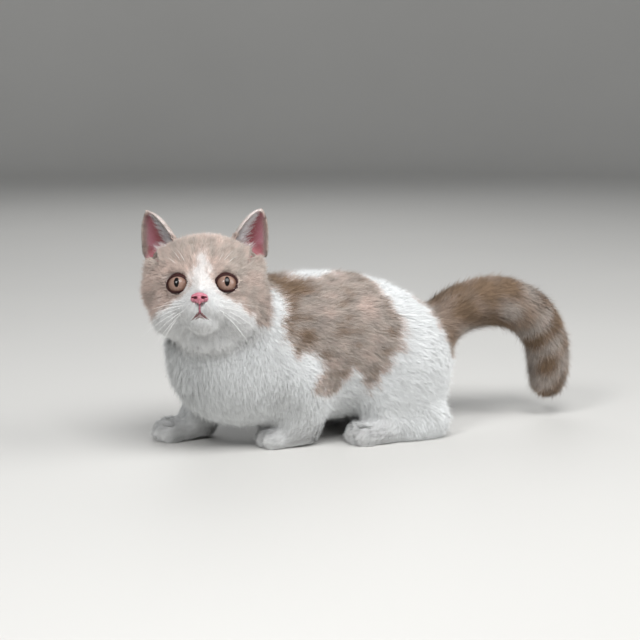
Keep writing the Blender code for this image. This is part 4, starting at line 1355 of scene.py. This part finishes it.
# Matt pale paint
floor_material = mottled_material("painted_floor", FLOOR_MOTTLE, ("#C6C5C2", "#CCCBC8"), 0.55)
FLOOR_RADIUS = 2.4
BEND_RADIUS = 0.6
WALL_HEIGHT = 1.1
profile = [(0.0, 0.0), (FLOOR_RADIUS, 0.0)]
for k in range(1, 13):
    bend = math.radians(90 * k / 12)
    profile.append((FLOOR_RADIUS + BEND_RADIUS * math.sin(bend), BEND_RADIUS * (1 - math.cos(bend))))
profile.append((FLOOR_RADIUS + BEND_RADIUS, WALL_HEIGHT))
mesh = bmesh.new()
rail = [mesh.verts.new((out, 0, up)) for out, up in profile]
for lower, upper in zip(rail, rail[1:]):
    mesh.edges.new((lower, upper))
bmesh.ops.spin(
    mesh, geom=mesh.verts[:] + mesh.edges[:], axis=(0, 0, 1), cent=(0, 0, 0), angle=2 * math.pi, steps=128
)
bmesh.ops.remove_doubles(mesh, verts=mesh.verts, dist=1e-4)
bmesh.ops.recalc_face_normals(mesh, faces=mesh.faces)
floor_mesh = bpy.data.meshes.new("floor")
mesh.to_mesh(floor_mesh)
mesh.free()
if floor_mesh.polygons[0].normal.z < 0:
    floor_mesh.flip_normals()
shade_smooth(floor_mesh)
floor_mesh.materials.append(floor_material)
floor = add_object("floor", floor_mesh)


# Studio light. A broad soft key high in front, a fill nearly as strong on the right, a smaller light on the
# left that shows in the eyes, a weak one from behind, and an even pale surrounding. Each has its turn and
# rise in degrees, its distance and size in metres and its power in watts.
CAMERA_TURN = -23.0
CAMERA_RISE = 10.0
CAMERA_DISTANCE = 0.92
FOCAL_PIXELS = 1437.0
IMAGE_PIXELS = 640.0
AIM = (0.0, -28.0, 83.3)
aim = Vector(to_row(AIM))


def seen_from(turn, rise, distance):
    """A place at that many degrees round from straight in front and up from level, and its distance away."""
    turn, rise = math.radians(turn), math.radians(rise)
    level = Vector((math.sin(turn), -math.cos(turn), 0))
    return aim + distance * (level * math.cos(rise) + Vector((0, 0, math.sin(rise))))


LIGHTS = (
    ("key", -4.0, 58.0, 1.5, 0.8, 18.5),
    ("left", -56.0, 42.0, 1.4, 0.38, 8.0),
    ("fill", 54.0, 30.0, 1.7, 1.0, 18.0),
    ("back", 165.0, 38.0, 1.7, 1.2, 6.0),
)
for name, turn, rise, distance, size, power in LIGHTS:
    lamp = bpy.data.lights.new(name, "AREA")
    lamp.energy = power
    lamp.size = size
    holder = add_object(name, lamp)
    holder.location = seen_from(turn, rise, distance)
    holder.rotation_euler = (aim - holder.location).to_track_quat("-Z", "Y").to_euler()
world = bpy.data.worlds.new("studio")
bpy.context.scene.world = world
world.use_nodes = True
world.node_tree.nodes["Background"].inputs["Color"].default_value = colour("#E9EDF1")
world.node_tree.nodes["Background"].inputs["Strength"].default_value = 0.19
bpy.context.scene.view_settings.view_transform = "Standard"

# Camera. The photograph's distance, height and angle, with a field as wide as its frame
SENSOR = 36.0
lens = bpy.data.cameras.new("camera")
lens.sensor_width = SENSOR
lens.lens = SENSOR * FOCAL_PIXELS / IMAGE_PIXELS
lens.clip_start = 0.05
camera = add_object("camera", lens)
camera.location = seen_from(CAMERA_TURN, CAMERA_RISE, CAMERA_DISTANCE)
camera.rotation_euler = (aim - camera.location).to_track_quat("-Z", "Y").to_euler()
bpy.context.scene.camera = camera
